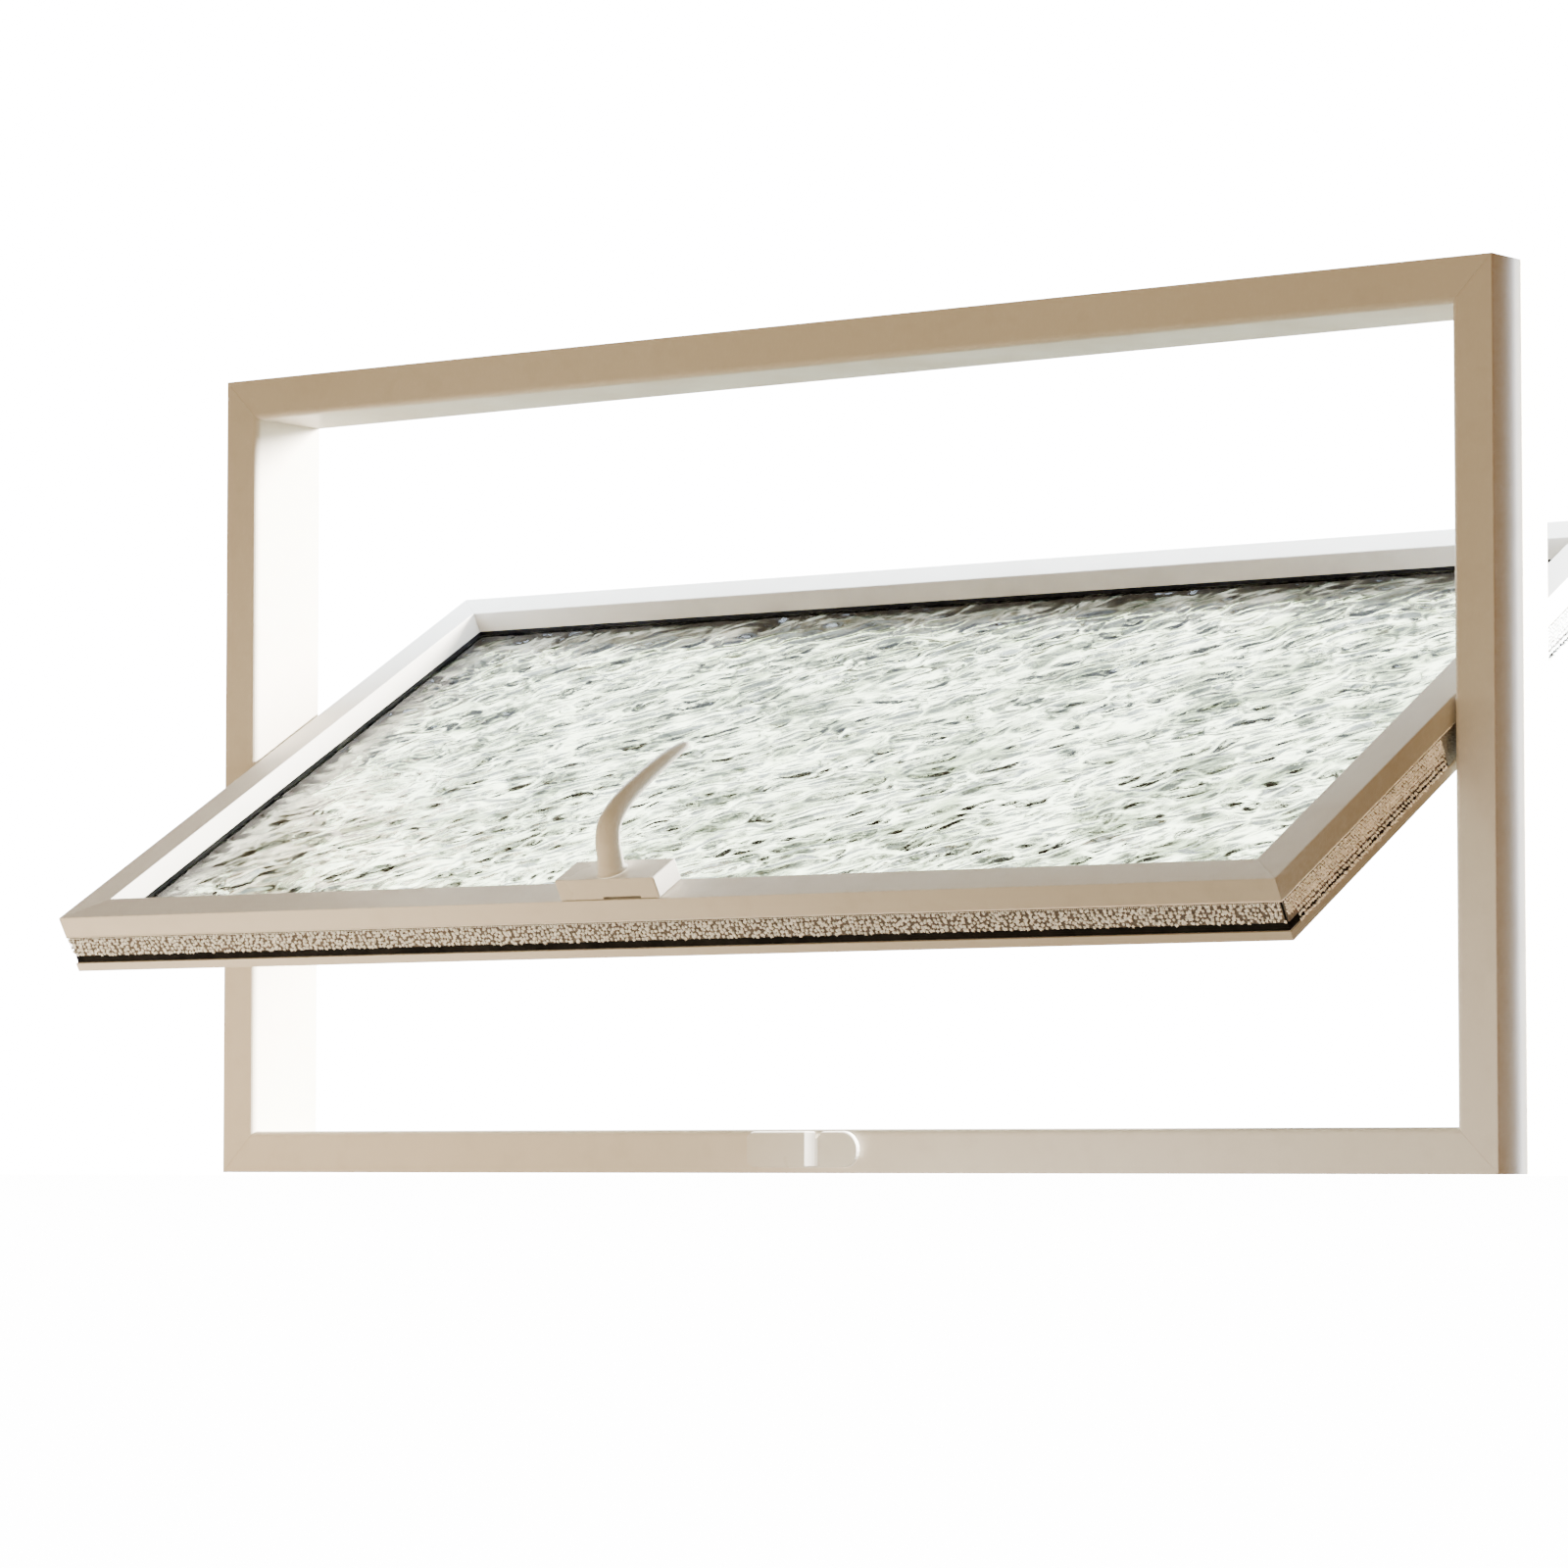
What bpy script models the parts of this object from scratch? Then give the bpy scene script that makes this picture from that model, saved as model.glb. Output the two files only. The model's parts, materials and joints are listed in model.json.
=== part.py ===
"""Centre-pivot window: a hollow aluminium frame, a tilting sash with obscured glass, and a turn handle.

Metres, +Z up, +X along the window, -Y towards the room. The origin is the middle of the sill's underside.
The sash is modelled shut in its own axes and hangs on an empty that tilts it open about the pivots.
"""

import math

import bmesh
import bpy
from mathutils import Vector
from mathutils.geometry import tessellate_polygon

# Clearances
GAP = 0.0003  # between pieces that rest on each other
MITRE_GAP = 0.0001  # across each mitred corner
RUNNING = 0.00008  # radial, round anything that turns
SASH_GAP = 0.0025  # from the sash's edge to the frame's reveal

# Outer frame
FRAME_WIDTH = 1.000
FRAME_HEIGHT = 0.545
FRAME_DEPTH = 0.065
FRAME_FACE = 0.028  # seen from the room
FRAME_WALL = 0.002
FRAME_RIB = 0.036  # from the room face to the rib between the two chambers
FRAME_ROUND = 0.004  # rounding where the face turns into the reveal
FRAME_CLEAT_LEG = 0.060

# Sash: depths are measured from its room face, insets from its outer edge
SASH_DEPTH = 0.040
SASH_FACE = 0.026
SASH_WALL = 0.0016
SASH_PROUD = 0.001  # how far its room face stands in front of the frame's when shut
BAND_DEPTH = 0.0142  # plain band along the edge
LIP_SIZE = 0.0008
LIP_STEP = 0.0012
GROOVE_INSET = 0.0055  # depth of the seal groove in the edge
OUTER_FLANGE = 0.006
WEB_INSET = 0.014  # floor of the glazing rebate
FLANGE_BACK = 0.0147  # where the rebate starts
CHAMBER_FLOOR = 0.0110
SASH_CLEAT_LEG = 0.045
EDGE_ROUND = 0.0006

# Glazing
GLASS_THICKNESS = 0.005
GLASS_EDGE = 0.003  # from the rebate's floor to the pane
GASKET_THICKNESS = 0.0025
WEDGE_THICKNESS = 0.0022
GASKET_SLOT = 0.0020  # width of the slot that takes the gasket's foot
SLOT_LAND = 0.0055  # from the sash's inner edge to that slot
SLOT_DEPTH = 0.0018
CATCH_BACK = 0.0090  # from the sash's outside face to the catch that holds the bead
CATCH_WIDTH = 0.0024
CATCH_DEPTH = 0.0018
BEAD_WALL = 0.0015
BLOCK_LENGTH = 0.030

# Seals in the sash's edge
SEAL_FLOOR = 0.0010
SEAL_WIDTH = 0.0046  # the bulb beside the pile
SEAL_INSET = 0.0012  # how far the bulb stays below the edge
PILE_BACKING = 0.0012
PILE_PROUD = 0.0010  # how far the pile stands out of the edge
PILE_CORNER = 0.0058  # the pile stops this far from each corner

# Pivots
OPEN_ANGLE = math.radians(60)  # from shut, as modelled
TRAVEL = math.radians(90)  # from shut to level
PIVOT_DROP = 0.004  # below mid-height, where the sash and its handle balance
PIVOT_DEPTH = 0.0205  # axis behind the sash's room face
PIN_RADIUS = 0.004
PLATE_LENGTH = 0.064
HOUSING_LENGTH = 0.052
HOUSING_DEPTH = 0.022
HOUSING_THICKNESS = 0.013
DOG_RADIUS = 0.007  # the stop beside the pin
DOG_LENGTH = 0.0045
PIN_BEARING = 0.0072  # length of pin in the housing's bore, past the stop
DOG_HALF_ANGLE = math.radians(16)
DOG_PLAY = math.radians(1)
WASHER_RADIUS = 0.009

# Screws
SCREW_RADIUS = 0.002
SCREW_HEAD_RADIUS = 0.0038
SCREW_HEAD_HEIGHT = 0.0016
SCREW_CLEARANCE = 0.0003
SCREW_SIDES = 12

# Facets
BORE_SIDES = 24
DISC_SIDES = 32

# Handle: heights are above the sash's room face, x and y from the spindle
KEEPER_X = -0.003
HANDLE_X = KEEPER_X - 0.005  # brings the nose under the keeper's hood
BASE_WIDTH = 0.0255
BASE_FOOT = 0.0114  # length of each foot of the plate under the cover
BASE_INSET = 0.0002  # from the sash's bottom edge
HANDLE_INSET = 0.0110  # from the sash's bottom edge to the spindle
BASE_HEIGHT = 0.0144
BASE_WALL = 0.002
BASE_ROUND = 0.0009
NOSE_LENGTH = 0.024
NOSE_WIDTH = 0.008
NOSE_HUB_RADIUS = 0.0078
NOSE_BOTTOM = 0.0003
NOSE_THICKNESS = 0.0015
NOSE_CLEARANCE = 0.0004
FRONT_LIFT = 0.0008  # gap under the cover's front wall
COLLAR_THICKNESS = 0.001
BRIDGE_THICKNESS = 0.0028
THRUST_WASHER_THICKNESS = 0.0008
SPINDLE_WIDTH = 0.0068
HUB_RADIUS = 0.0077
COLLAR_RADIUS = 0.0104
SOCKET_TOP = 0.0235

# Keeper on the sill
KEEPER_LENGTH = 0.083
KEEPER_HEIGHT = 0.023
KEEPER_DROP = 0.0013  # below the reveal's edge
KEEPER_LOW = 0.0032  # thickness of the low end
HOOD_HEIGHT = 0.0086  # thickness of the raised end
HOOD_LENGTH = 0.046
HOOD_RAMP = 0.010
KEEPER_ROUND = 0.0010
KEEPER_TIP = 0.00002  # the half-round end stops this far short of its point
KEEPER_SCREW_DEPTH = 0.0019  # how far its screws go into it
KEEPER_LEFT_RADIUS = 0.0060
POCKET_DEPTH = 0.0046  # from the sill's face to the inside of the hood

# Worked out from the sizes above
ROOM_FACE = -FRAME_DEPTH / 2
REVEAL_X = FRAME_WIDTH / 2 - FRAME_FACE
SASH_WIDTH = 2 * (REVEAL_X - SASH_GAP)
SASH_HEIGHT = FRAME_HEIGHT - 2 * (FRAME_FACE + SASH_GAP)
PIVOT = Vector((0, ROOM_FACE - SASH_PROUD + PIVOT_DEPTH, FRAME_HEIGHT / 2 - PIVOT_DROP))
LIP_END = BAND_DEPTH + LIP_SIZE
GROOVE_END = SASH_DEPTH - OUTER_FLANGE
GLASS_INSET = WEB_INSET + GLASS_EDGE
GLASS_START = FLANGE_BACK + GASKET_THICKNESS + 2 * GAP
GLASS_END = GLASS_START + GLASS_THICKNESS
BEAD_START = GLASS_END + WEDGE_THICKNESS + 2 * GAP
CATCH_START = SASH_DEPTH - CATCH_BACK
CATCH_END = CATCH_START + CATCH_WIDTH
SLOT_INSET = SASH_FACE - SLOT_LAND
SEAL_START = LIP_END + GAP
PILE_END = GROOVE_END - SEAL_WIDTH - 2 * GAP
FOOT_START = NOSE_LENGTH + 2 * NOSE_CLEARANCE
BASE_LENGTH = 2 * (FOOT_START + BASE_FOOT + GAP + BASE_WALL)
SIDES = {"bottom": 0, "left": 90, "top": 180, "right": -90}  # turn about Y that faces each bar inwards


# Materials -----------------------------------------------------------------------------------------------

def material(name, colour, roughness, metallic=0.0, transmission=0.0):
    made = bpy.data.materials.new(name)
    made.use_nodes = True
    made.diffuse_color = (*colour, 1)
    shader = made.node_tree.nodes["Principled BSDF"]
    shader.inputs["Base Color"].default_value = (*colour, 1)
    shader.inputs["Roughness"].default_value = roughness
    shader.inputs["Metallic"].default_value = metallic
    shader.inputs["Transmission Weight"].default_value = transmission
    return made


for old in list(bpy.data.objects):
    bpy.data.objects.remove(old)

PAINT = material("cream_paint", (0.80, 0.75, 0.67), 0.40)
HARDWARE_PAINT = material("hardware_paint", (0.82, 0.78, 0.71), 0.32)
MILL = material("mill_aluminium", (0.62, 0.63, 0.64), 0.35, 1.0)
STEEL = material("zinc_steel", (0.58, 0.58, 0.56), 0.30, 1.0)
RUBBER = material("black_rubber", (0.02, 0.02, 0.02), 0.75)
GREY_SEAL = material("grey_seal", (0.45, 0.45, 0.40), 0.60)
PILE = material("wool_pile", (0.62, 0.56, 0.47), 0.95)
NYLON = material("white_nylon", (0.80, 0.80, 0.78), 0.45)
GLASS = material("obscured_glass", (0.90, 0.95, 0.93), 0.08, 0.0, 0.95)


# Shape tools ---------------------------------------------------------------------------------------------

def empty(name, location, rotation=(0, 0, 0), parent=None):
    made = bpy.data.objects.new(name, None)
    made.location = location
    made.rotation_euler = rotation
    made.parent = parent
    bpy.context.scene.collection.objects.link(made)
    return made


def place(name, bm, look, parent, location=(0, 0, 0), rotation=(0, 0, 0)):
    """Turns a bmesh into a named object with outward faces and smooth shading across shallow edges."""
    bmesh.ops.recalc_face_normals(bm, faces=bm.faces)
    mesh = bpy.data.meshes.new(name)
    bm.to_mesh(mesh)
    bm.free()
    mesh.shade_smooth()
    mesh.set_sharp_from_angle(angle=math.radians(30))
    if look:
        mesh.materials.append(look)
    made = bpy.data.objects.new(name, mesh)
    made.parent = parent
    made.location = location
    made.rotation_euler = rotation
    bpy.context.scene.collection.objects.link(made)
    return made


def cut(piece, bm):
    """Cuts a bmesh, given in the axes of the piece's parent, out of the piece."""
    drill(piece, bm, piece.parent)


def soften(points, radii, steps=2):
    """The outline with an arc in place of each corner whose index is in radii."""
    made = []
    for i, point in enumerate(points):
        if i not in radii:
            made.append(tuple(point))
            continue
        here = Vector(point)
        before = (Vector(points[i - 1]) - here).normalized()
        after = (Vector(points[(i + 1) % len(points)]) - here).normalized()
        centre = here + (before + after) * radii[i]
        start = here + before * radii[i] - centre
        end = here + after * radii[i] - centre
        for step in range(steps + 1):
            share = step / steps * math.pi / 2
            made.append(tuple(centre + start * math.cos(share) + end * math.sin(share)))
    return made


def box_outline(low_x, low_y, high_x, high_y):
    return [(low_x, low_y), (high_x, low_y), (high_x, high_y), (low_x, high_y)]


def ring(radius, count, centre=(0, 0)):
    turns = [2 * math.pi * (i + 0.5) / count for i in range(count)]
    return [(centre[0] + radius * math.cos(a), centre[1] + radius * math.sin(a)) for a in turns]


def sector(radius, start, end, steps=8):
    """A slice of a disc, with its point on the axis."""
    angles = [start + (end - start) * i / steps for i in range(steps + 1)]
    return [(0.0, 0.0)] + [(radius * math.cos(a), radius * math.sin(a)) for a in angles]


def add_prism(bm, loops, at_start, at_end):
    """Adds the solid between two copies of a flat outline, whose later loops are holes right through."""
    ends = []
    for at in (at_start, at_end):
        ends.append([[bm.verts.new(at(point)) for point in loop] for loop in loops])
    for first, last in zip(*ends):
        for i in range(len(first)):
            j = (i + 1) % len(first)
            bm.faces.new((first[i], first[j], last[j], last[i]))
    flat = [[Vector((a, b, 0)) for a, b in loop] for loop in loops]
    for verts in ends:
        every = [v for loop in verts for v in loop]
        for corners in tessellate_polygon(flat):
            bm.faces.new([every[i] for i in corners])


def prism_x(outline, start, end, holes=(), bm=None):
    """A prism along X from an outline in (y, z)."""
    bm = bm or bmesh.new()
    add_prism(bm, [outline, *holes], lambda p: (start, *p), lambda p: (end, *p))
    return bm


def prism_y(outline, start, end, holes=(), bm=None):
    """A prism along Y from an outline in (x, z)."""
    bm = bm or bmesh.new()
    add_prism(bm, [outline, *holes], lambda p: (p[0], start, p[1]), lambda p: (p[0], end, p[1]))
    return bm


def prism_z(outline, start, end, holes=(), bm=None):
    """A prism along Z from an outline in (x, y)."""
    bm = bm or bmesh.new()
    add_prism(bm, [outline, *holes], lambda p: (*p, start), lambda p: (*p, end))
    return bm


def loft(sections):
    """A solid through closed sections, each a list of the same number of points, with flat ends."""
    bm = bmesh.new()
    rows = [[bm.verts.new(point) for point in section] for section in sections]
    for first, last in zip(rows, rows[1:]):
        for i in range(len(first)):
            j = (i + 1) % len(first)
            bm.faces.new((first[i], first[j], last[j], last[i]))
    bm.faces.new(rows[0])
    bm.faces.new(rows[-1])
    return bm


def bar(loops, start, end, mitre_start=True, mitre_end=True, bm=None):
    """A length of extrusion along X. Its outlines are (inset, depth): inset runs up Z and depth along Y."""
    bm = bm or bmesh.new()
    add_prism(
        bm,
        loops,
        lambda p: (start + (p[0] if mitre_start else 0), p[1], p[0]),
        lambda p: (end - (p[0] if mitre_end else 0), p[1], p[0]),
    )
    return bm


def side_spot(side, width, height, room_face, middle=0.0):
    """Where the bar of one side of a rectangle starts, at the middle of its outer edge, and its turn."""
    half_x, half_z = width / 2, height / 2
    spots = {"bottom": (0, -half_z), "top": (0, half_z), "left": (-half_x, 0), "right": (half_x, 0)}
    x, z = spots[side]
    return (x, room_face, middle + z), (0, math.radians(SIDES[side]), 0)


def side_length(side, width, height):
    return width if side in ("bottom", "top") else height


def mitred_ring(names, loops, width, height, look, parent, room_face, middle=0.0):
    """Four mitred bars round a rectangle, as {side: object}. names maps each side to its object's name."""
    made = {}
    for side in SIDES:
        half = side_length(side, width, height) / 2 - MITRE_GAP
        spot, turn = side_spot(side, width, height, room_face, middle)
        made[side] = place(names[side], bar(loops, -half, half), look, parent, spot, turn)
    return made


def cleats(prefix, inset, leg, thickness, near, far, width, height, middle):
    """The four L-shaped blocks that join a mitred ring, between two depths and this far in from its edge."""
    low, high = inset, inset + thickness
    tip = inset + leg
    outline = [(low, low), (tip, low), (tip, high), (high, high), (high, tip), (low, tip)]
    turns = {"bottom_left": (-1, -1, 0), "bottom_right": (1, -1, -90)}
    turns.update({"top_right": (1, 1, 180), "top_left": (-1, 1, 90)})
    axes = frame_axes if prefix == "frame" else sash_axes
    for corner, (sx, sz, turn) in turns.items():
        spot = (sx * width / 2, 0, middle + sz * height / 2)
        block = prism_y(outline, near, far)
        place(f"{prefix}_cleat_{corner}", block, MILL, axes, spot, (0, math.radians(turn), 0))


def run_round(bm, loop, width, height, stops, closed):
    """Adds a strip that follows a rectangle's edge. A stop is a corner (sx, sz), or (sx, None, z) on a stile."""
    rows = []
    for stop in stops:
        sx, sz = stop[:2]
        row = []
        for inset, depth in loop:
            z = stop[2] if sz is None else sz * (height / 2 - inset)
            row.append(bm.verts.new((sx * (width / 2 - inset), depth, z)))
        rows.append(row)
    pairs = list(zip(rows, rows[1:]))
    if closed:
        pairs.append((rows[-1], rows[0]))
    for first, last in pairs:
        for i in range(len(first)):
            j = (i + 1) % len(first)
            bm.faces.new((first[i], first[j], last[j], last[i]))
    if not closed:
        flat = [[Vector((a, b, 0)) for a, b in loop]]
        for verts in (rows[0], rows[-1]):
            for corners in tessellate_polygon(flat):
                bm.faces.new([verts[i] for i in corners])
    return bm


def screw_solid(length, grow=0.0):
    """A flat-headed screw along +Z with its head's top at the origin, or the hole for it if it is grown."""
    lead = [(-2 * grow, SCREW_HEAD_RADIUS + grow)] if grow else []
    profile = lead + [(0, SCREW_HEAD_RADIUS + grow), (SCREW_HEAD_HEIGHT, SCREW_RADIUS + grow)]
    profile.append((length + grow, SCREW_RADIUS + grow))
    return loft([[(a, b, along) for a, b in ring(radius, SCREW_SIDES)] for along, radius in profile])


def facing(direction):
    return Vector(direction).to_track_quat("Z", "Y").to_euler()


def screws(names, spots, direction, length, parent, through):
    """Screws at the spots, with a hole for each in every piece of through."""
    turn = facing(direction)
    for name, spot in zip(names, spots):
        place(name, screw_solid(length), STEEL, parent, spot, turn)
        for piece in through:
            drill(piece, screw_solid(length, SCREW_CLEARANCE), parent, spot, turn)


def drill(piece, bm, parent, location=(0, 0, 0), rotation=(0, 0, 0)):
    """Cuts a bmesh, placed in the axes of parent, out of the piece."""
    tool = place("cutter_of_" + piece.name, bm, None, parent, location, rotation)
    tool.hide_render = True
    tool.display_type = "WIRE"
    boolean = piece.modifiers.new("cut", "BOOLEAN")
    boolean.operation = "DIFFERENCE"
    boolean.object = tool


# Axes ----------------------------------------------------------------------------------------------------

frame_axes = empty("frame_axes", (0, 0, 0))
pivot_axes = empty("pivot_axes", PIVOT, parent=frame_axes)
sash_axes = empty("sash_axes", PIVOT, (-OPEN_ANGLE, 0, 0), frame_axes)
SASH_ROOM_FACE = -PIVOT_DEPTH
SASH_BOTTOM = PIVOT_DROP - SASH_HEIGHT / 2
handle_spot = (HANDLE_X, SASH_ROOM_FACE, SASH_BOTTOM + HANDLE_INSET)
# The handle's +Z leaves the sash
handle_axes = empty("handle_axes", handle_spot, (math.radians(90), 0, 0), sash_axes)


# Outer frame ---------------------------------------------------------------------------------------------

def frame_loops():
    outline = [(0, 0), (FRAME_FACE, 0), (FRAME_FACE, FRAME_DEPTH), (0, FRAME_DEPTH)]
    outer = soften(outline, {1: FRAME_ROUND}, 5)
    outer = soften(outer, {0: EDGE_ROUND, len(outer) - 2: EDGE_ROUND, len(outer) - 1: EDGE_ROUND}, 2)
    inside, skin = FRAME_FACE - FRAME_WALL, FRAME_WALL
    front = box_outline(skin, skin, inside, FRAME_RIB)
    rear = box_outline(skin, FRAME_RIB + skin, inside, FRAME_DEPTH - skin)
    front[1:2] = [(inside - skin / 2, skin), (inside, skin + skin / 2)]
    return [outer, front, rear]


def make_frame():
    names = {"bottom": "frame_sill", "top": "frame_head"}
    names.update({side: "frame_jamb_" + side for side in ("left", "right")})
    middle = FRAME_HEIGHT / 2
    size = (FRAME_WIDTH, FRAME_HEIGHT)
    bars = mitred_ring(names, frame_loops(), *size, PAINT, frame_axes, ROOM_FACE, middle)
    inset = FRAME_WALL + GAP
    near = ROOM_FACE + FRAME_WALL + FRAME_ROUND / 2 + GAP
    far = ROOM_FACE + FRAME_RIB - GAP
    thickness = FRAME_FACE - 2 * inset
    cleats("frame", inset, FRAME_CLEAT_LEG, thickness, near, far, FRAME_WIDTH, FRAME_HEIGHT, middle)
    return bars


# Sash ----------------------------------------------------------------------------------------------------

def sash_loops():
    outer = [
        (0, 0),
        (SASH_FACE, 0),
        (SASH_FACE, FLANGE_BACK),
        (SLOT_INSET + GASKET_SLOT, FLANGE_BACK),
        (SLOT_INSET + GASKET_SLOT, FLANGE_BACK - SLOT_DEPTH),
        (SLOT_INSET, FLANGE_BACK - SLOT_DEPTH),
        (SLOT_INSET, FLANGE_BACK),
        (WEB_INSET, FLANGE_BACK),
        (WEB_INSET, CATCH_START),
        (WEB_INSET - CATCH_DEPTH, CATCH_START),
        (WEB_INSET - CATCH_DEPTH, CATCH_END),
        (WEB_INSET, CATCH_END),
        (WEB_INSET, SASH_DEPTH),
        (0, SASH_DEPTH),
        (0, GROOVE_END),
        (GROOVE_INSET, GROOVE_END),
        (GROOVE_INSET, LIP_END),
        (LIP_STEP, LIP_END),
        (LIP_STEP, BAND_DEPTH),
        (0, BAND_DEPTH),
    ]
    soft = dict.fromkeys((0, 1, 13), EDGE_ROUND)
    soft.update(dict.fromkeys((2, 14, 19), EDGE_ROUND / 2))
    skin = SASH_WALL
    main = box_outline(skin, skin, SASH_FACE - skin, CHAMBER_FLOOR)
    web = GROOVE_INSET + skin
    web_end = WEB_INSET - CATCH_DEPTH - skin
    edge = [
        (web, LIP_END + skin),
        (web_end, LIP_END + skin),
        (web_end, SASH_DEPTH - skin),
        (skin, SASH_DEPTH - skin),
        (skin, GROOVE_END + skin),
        (web, GROOVE_END + skin),
    ]
    return [soften(outer, soft, 2), main, edge]


def sash_parts(prefix, loops, look):
    """One mitred piece of extrusion for each side of the sash, named prefix_side."""
    names = {side: f"{prefix}_{side}" for side in SIDES}
    return mitred_ring(names, loops, SASH_WIDTH, SASH_HEIGHT, look, sash_axes, SASH_ROOM_FACE, PIVOT_DROP)


def make_sash():
    names = {"bottom": "sash_rail_bottom", "top": "sash_rail_top"}
    names.update({side: "sash_stile_" + side for side in ("left", "right")})
    size = (SASH_WIDTH, SASH_HEIGHT)
    bars = mitred_ring(names, sash_loops(), *size, PAINT, sash_axes, SASH_ROOM_FACE, PIVOT_DROP)
    inset = SASH_WALL + GAP
    near = SASH_ROOM_FACE + inset
    far = SASH_ROOM_FACE + CHAMBER_FLOOR - GAP
    thickness = SASH_FACE - 2 * inset
    cleats("sash", inset, SASH_CLEAT_LEG, thickness, near, far, SASH_WIDTH, SASH_HEIGHT, PIVOT_DROP)
    return bars


CORNERS = [(-1, -1), (1, -1), (1, 1), (-1, 1)]


def sash_ring(name, loop, look):
    """A soft ring all the way round the sash."""
    ring_solid = run_round(bmesh.new(), loop, SASH_WIDTH, SASH_HEIGHT, CORNERS, True)
    place(name, ring_solid, look, sash_axes, (0, SASH_ROOM_FACE, PIVOT_DROP))


def make_glazing():
    half_width = SASH_WIDTH / 2 - GLASS_INSET
    half_height = SASH_HEIGHT / 2 - GLASS_INSET
    pane = prism_y(box_outline(-half_width, -half_height, half_width, half_height), GLASS_START, GLASS_END)
    place("glass_pane", pane, GLASS, sash_axes, (0, SASH_ROOM_FACE, PIVOT_DROP))

    foot = SLOT_INSET + GAP
    foot_end = SLOT_INSET + GASKET_SLOT - GAP
    face = FLANGE_BACK + GAP
    gasket = [
        (GLASS_INSET + GAP, face),
        (foot, face),
        (foot, face - SLOT_DEPTH),
        (foot_end, face - SLOT_DEPTH),
        (foot_end, face),
        (SASH_FACE - GAP, face),
        (SASH_FACE - GAP, face + GASKET_THICKNESS),
        (GLASS_INSET + GAP, face + GASKET_THICKNESS),
    ]
    sash_ring("glass_gasket_room", gasket, RUBBER)

    wedge_start = GLASS_END + GAP
    wedge = [
        (GLASS_INSET + GAP, wedge_start),
        (SASH_FACE, wedge_start),
        (SASH_FACE - GAP, wedge_start + WEDGE_THICKNESS),
        (GLASS_INSET + GAP, wedge_start + WEDGE_THICKNESS),
    ]
    sash_ring("glass_gasket_outside", wedge, GREY_SEAL)

    wall = BEAD_WALL
    inner = SASH_FACE - wall
    outer = WEB_INSET + GAP
    back = SASH_DEPTH - GAP
    bead = [
        (outer, back),
        (SASH_FACE, back),
        (SASH_FACE, BEAD_START),
        (inner - wall, BEAD_START),
        (inner - wall, BEAD_START + wall),
        (inner, BEAD_START + wall),
        (inner, back - wall),
        (outer + wall, back - wall),
        (outer + wall, CATCH_START + GAP),
        (WEB_INSET - CATCH_DEPTH + GAP, CATCH_START + GAP),
        (WEB_INSET - CATCH_DEPTH + GAP, CATCH_END - GAP),
        (outer, CATCH_END - GAP),
    ]
    sash_parts("glazing_bead", [soften(bead, {1: EDGE_ROUND * 2}, 3)], PAINT)
    make_setting_blocks()


def make_setting_blocks():
    """The two packers that carry the pane's bottom edge."""
    low, high = WEB_INSET + GAP - SASH_HEIGHT / 2, GLASS_INSET - GAP - SASH_HEIGHT / 2
    half = BLOCK_LENGTH / 2
    for name, x in (("left", -SASH_WIDTH / 4), ("right", SASH_WIDTH / 4)):
        block = prism_y(box_outline(x - half, low, x + half, high), GLASS_START, GLASS_END)
        place("glass_setting_block_" + name, block, NYLON, sash_axes, (0, SASH_ROOM_FACE, PIVOT_DROP))


# Seals round the sash's edge -----------------------------------------------------------------------------

def seal_loop():
    floor = GROOVE_INSET - GAP
    top = floor - SEAL_FLOOR
    bulb = PILE_END + 2 * GAP
    end = GROOVE_END - GAP
    outline = [(floor, SEAL_START), (top, SEAL_START), (top, bulb), (SEAL_INSET, bulb)]
    return outline + [(SEAL_INSET, end), (floor, end)]


def pile_loop():
    back = GROOVE_INSET - SEAL_FLOOR - 2 * GAP
    shoulder = back - PILE_BACKING
    taper = 2 * GAP
    start, end = SEAL_START, PILE_END
    return [
        (back, start),
        (shoulder, start),
        (shoulder, start + taper),
        (-PILE_PROUD, start + 2 * taper),
        (-PILE_PROUD, end - 2 * taper),
        (shoulder, end - taper),
        (shoulder, end),
        (back, end),
    ]


def make_edge_seals():
    """A black seal in two lengths, above and below the pivots, with pile strips on it."""
    half_plate = PLATE_LENGTH / 2 + 2 * GAP
    for name, way in (("upper", 1), ("lower", -1)):
        end = way * half_plate - PIVOT_DROP
        stops = [(-1, None, end), (-1, way), (1, way), (1, None, end)]
        seal = run_round(bmesh.new(), seal_loop(), SASH_WIDTH, SASH_HEIGHT, stops, False)
        place("edge_seal_" + name, seal, RUBBER, sash_axes, (0, SASH_ROOM_FACE, PIVOT_DROP))
    for side in SIDES:
        half = side_length(side, SASH_WIDTH, SASH_HEIGHT) / 2 - PILE_CORNER
        spot, turn = side_spot(side, SASH_WIDTH, SASH_HEIGHT, SASH_ROOM_FACE, PIVOT_DROP)
        down = {"left": PIVOT_DROP, "right": -PIVOT_DROP}.get(side)
        lengths = {"": (-half, half)}
        if side == "left":
            lengths = {"_upper": (-half, down - half_plate), "_lower": (down + half_plate, half)}
        if side == "right":
            lengths = {"_lower": (-half, down - half_plate), "_upper": (down + half_plate, half)}
        for suffix, (start, end) in lengths.items():
            strip = bar([pile_loop()], start, end, False, False)
            place(f"pile_strip_{side}{suffix}", strip, PILE, sash_axes, spot, turn)


# Pivots --------------------------------------------------------------------------------------------------

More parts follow.
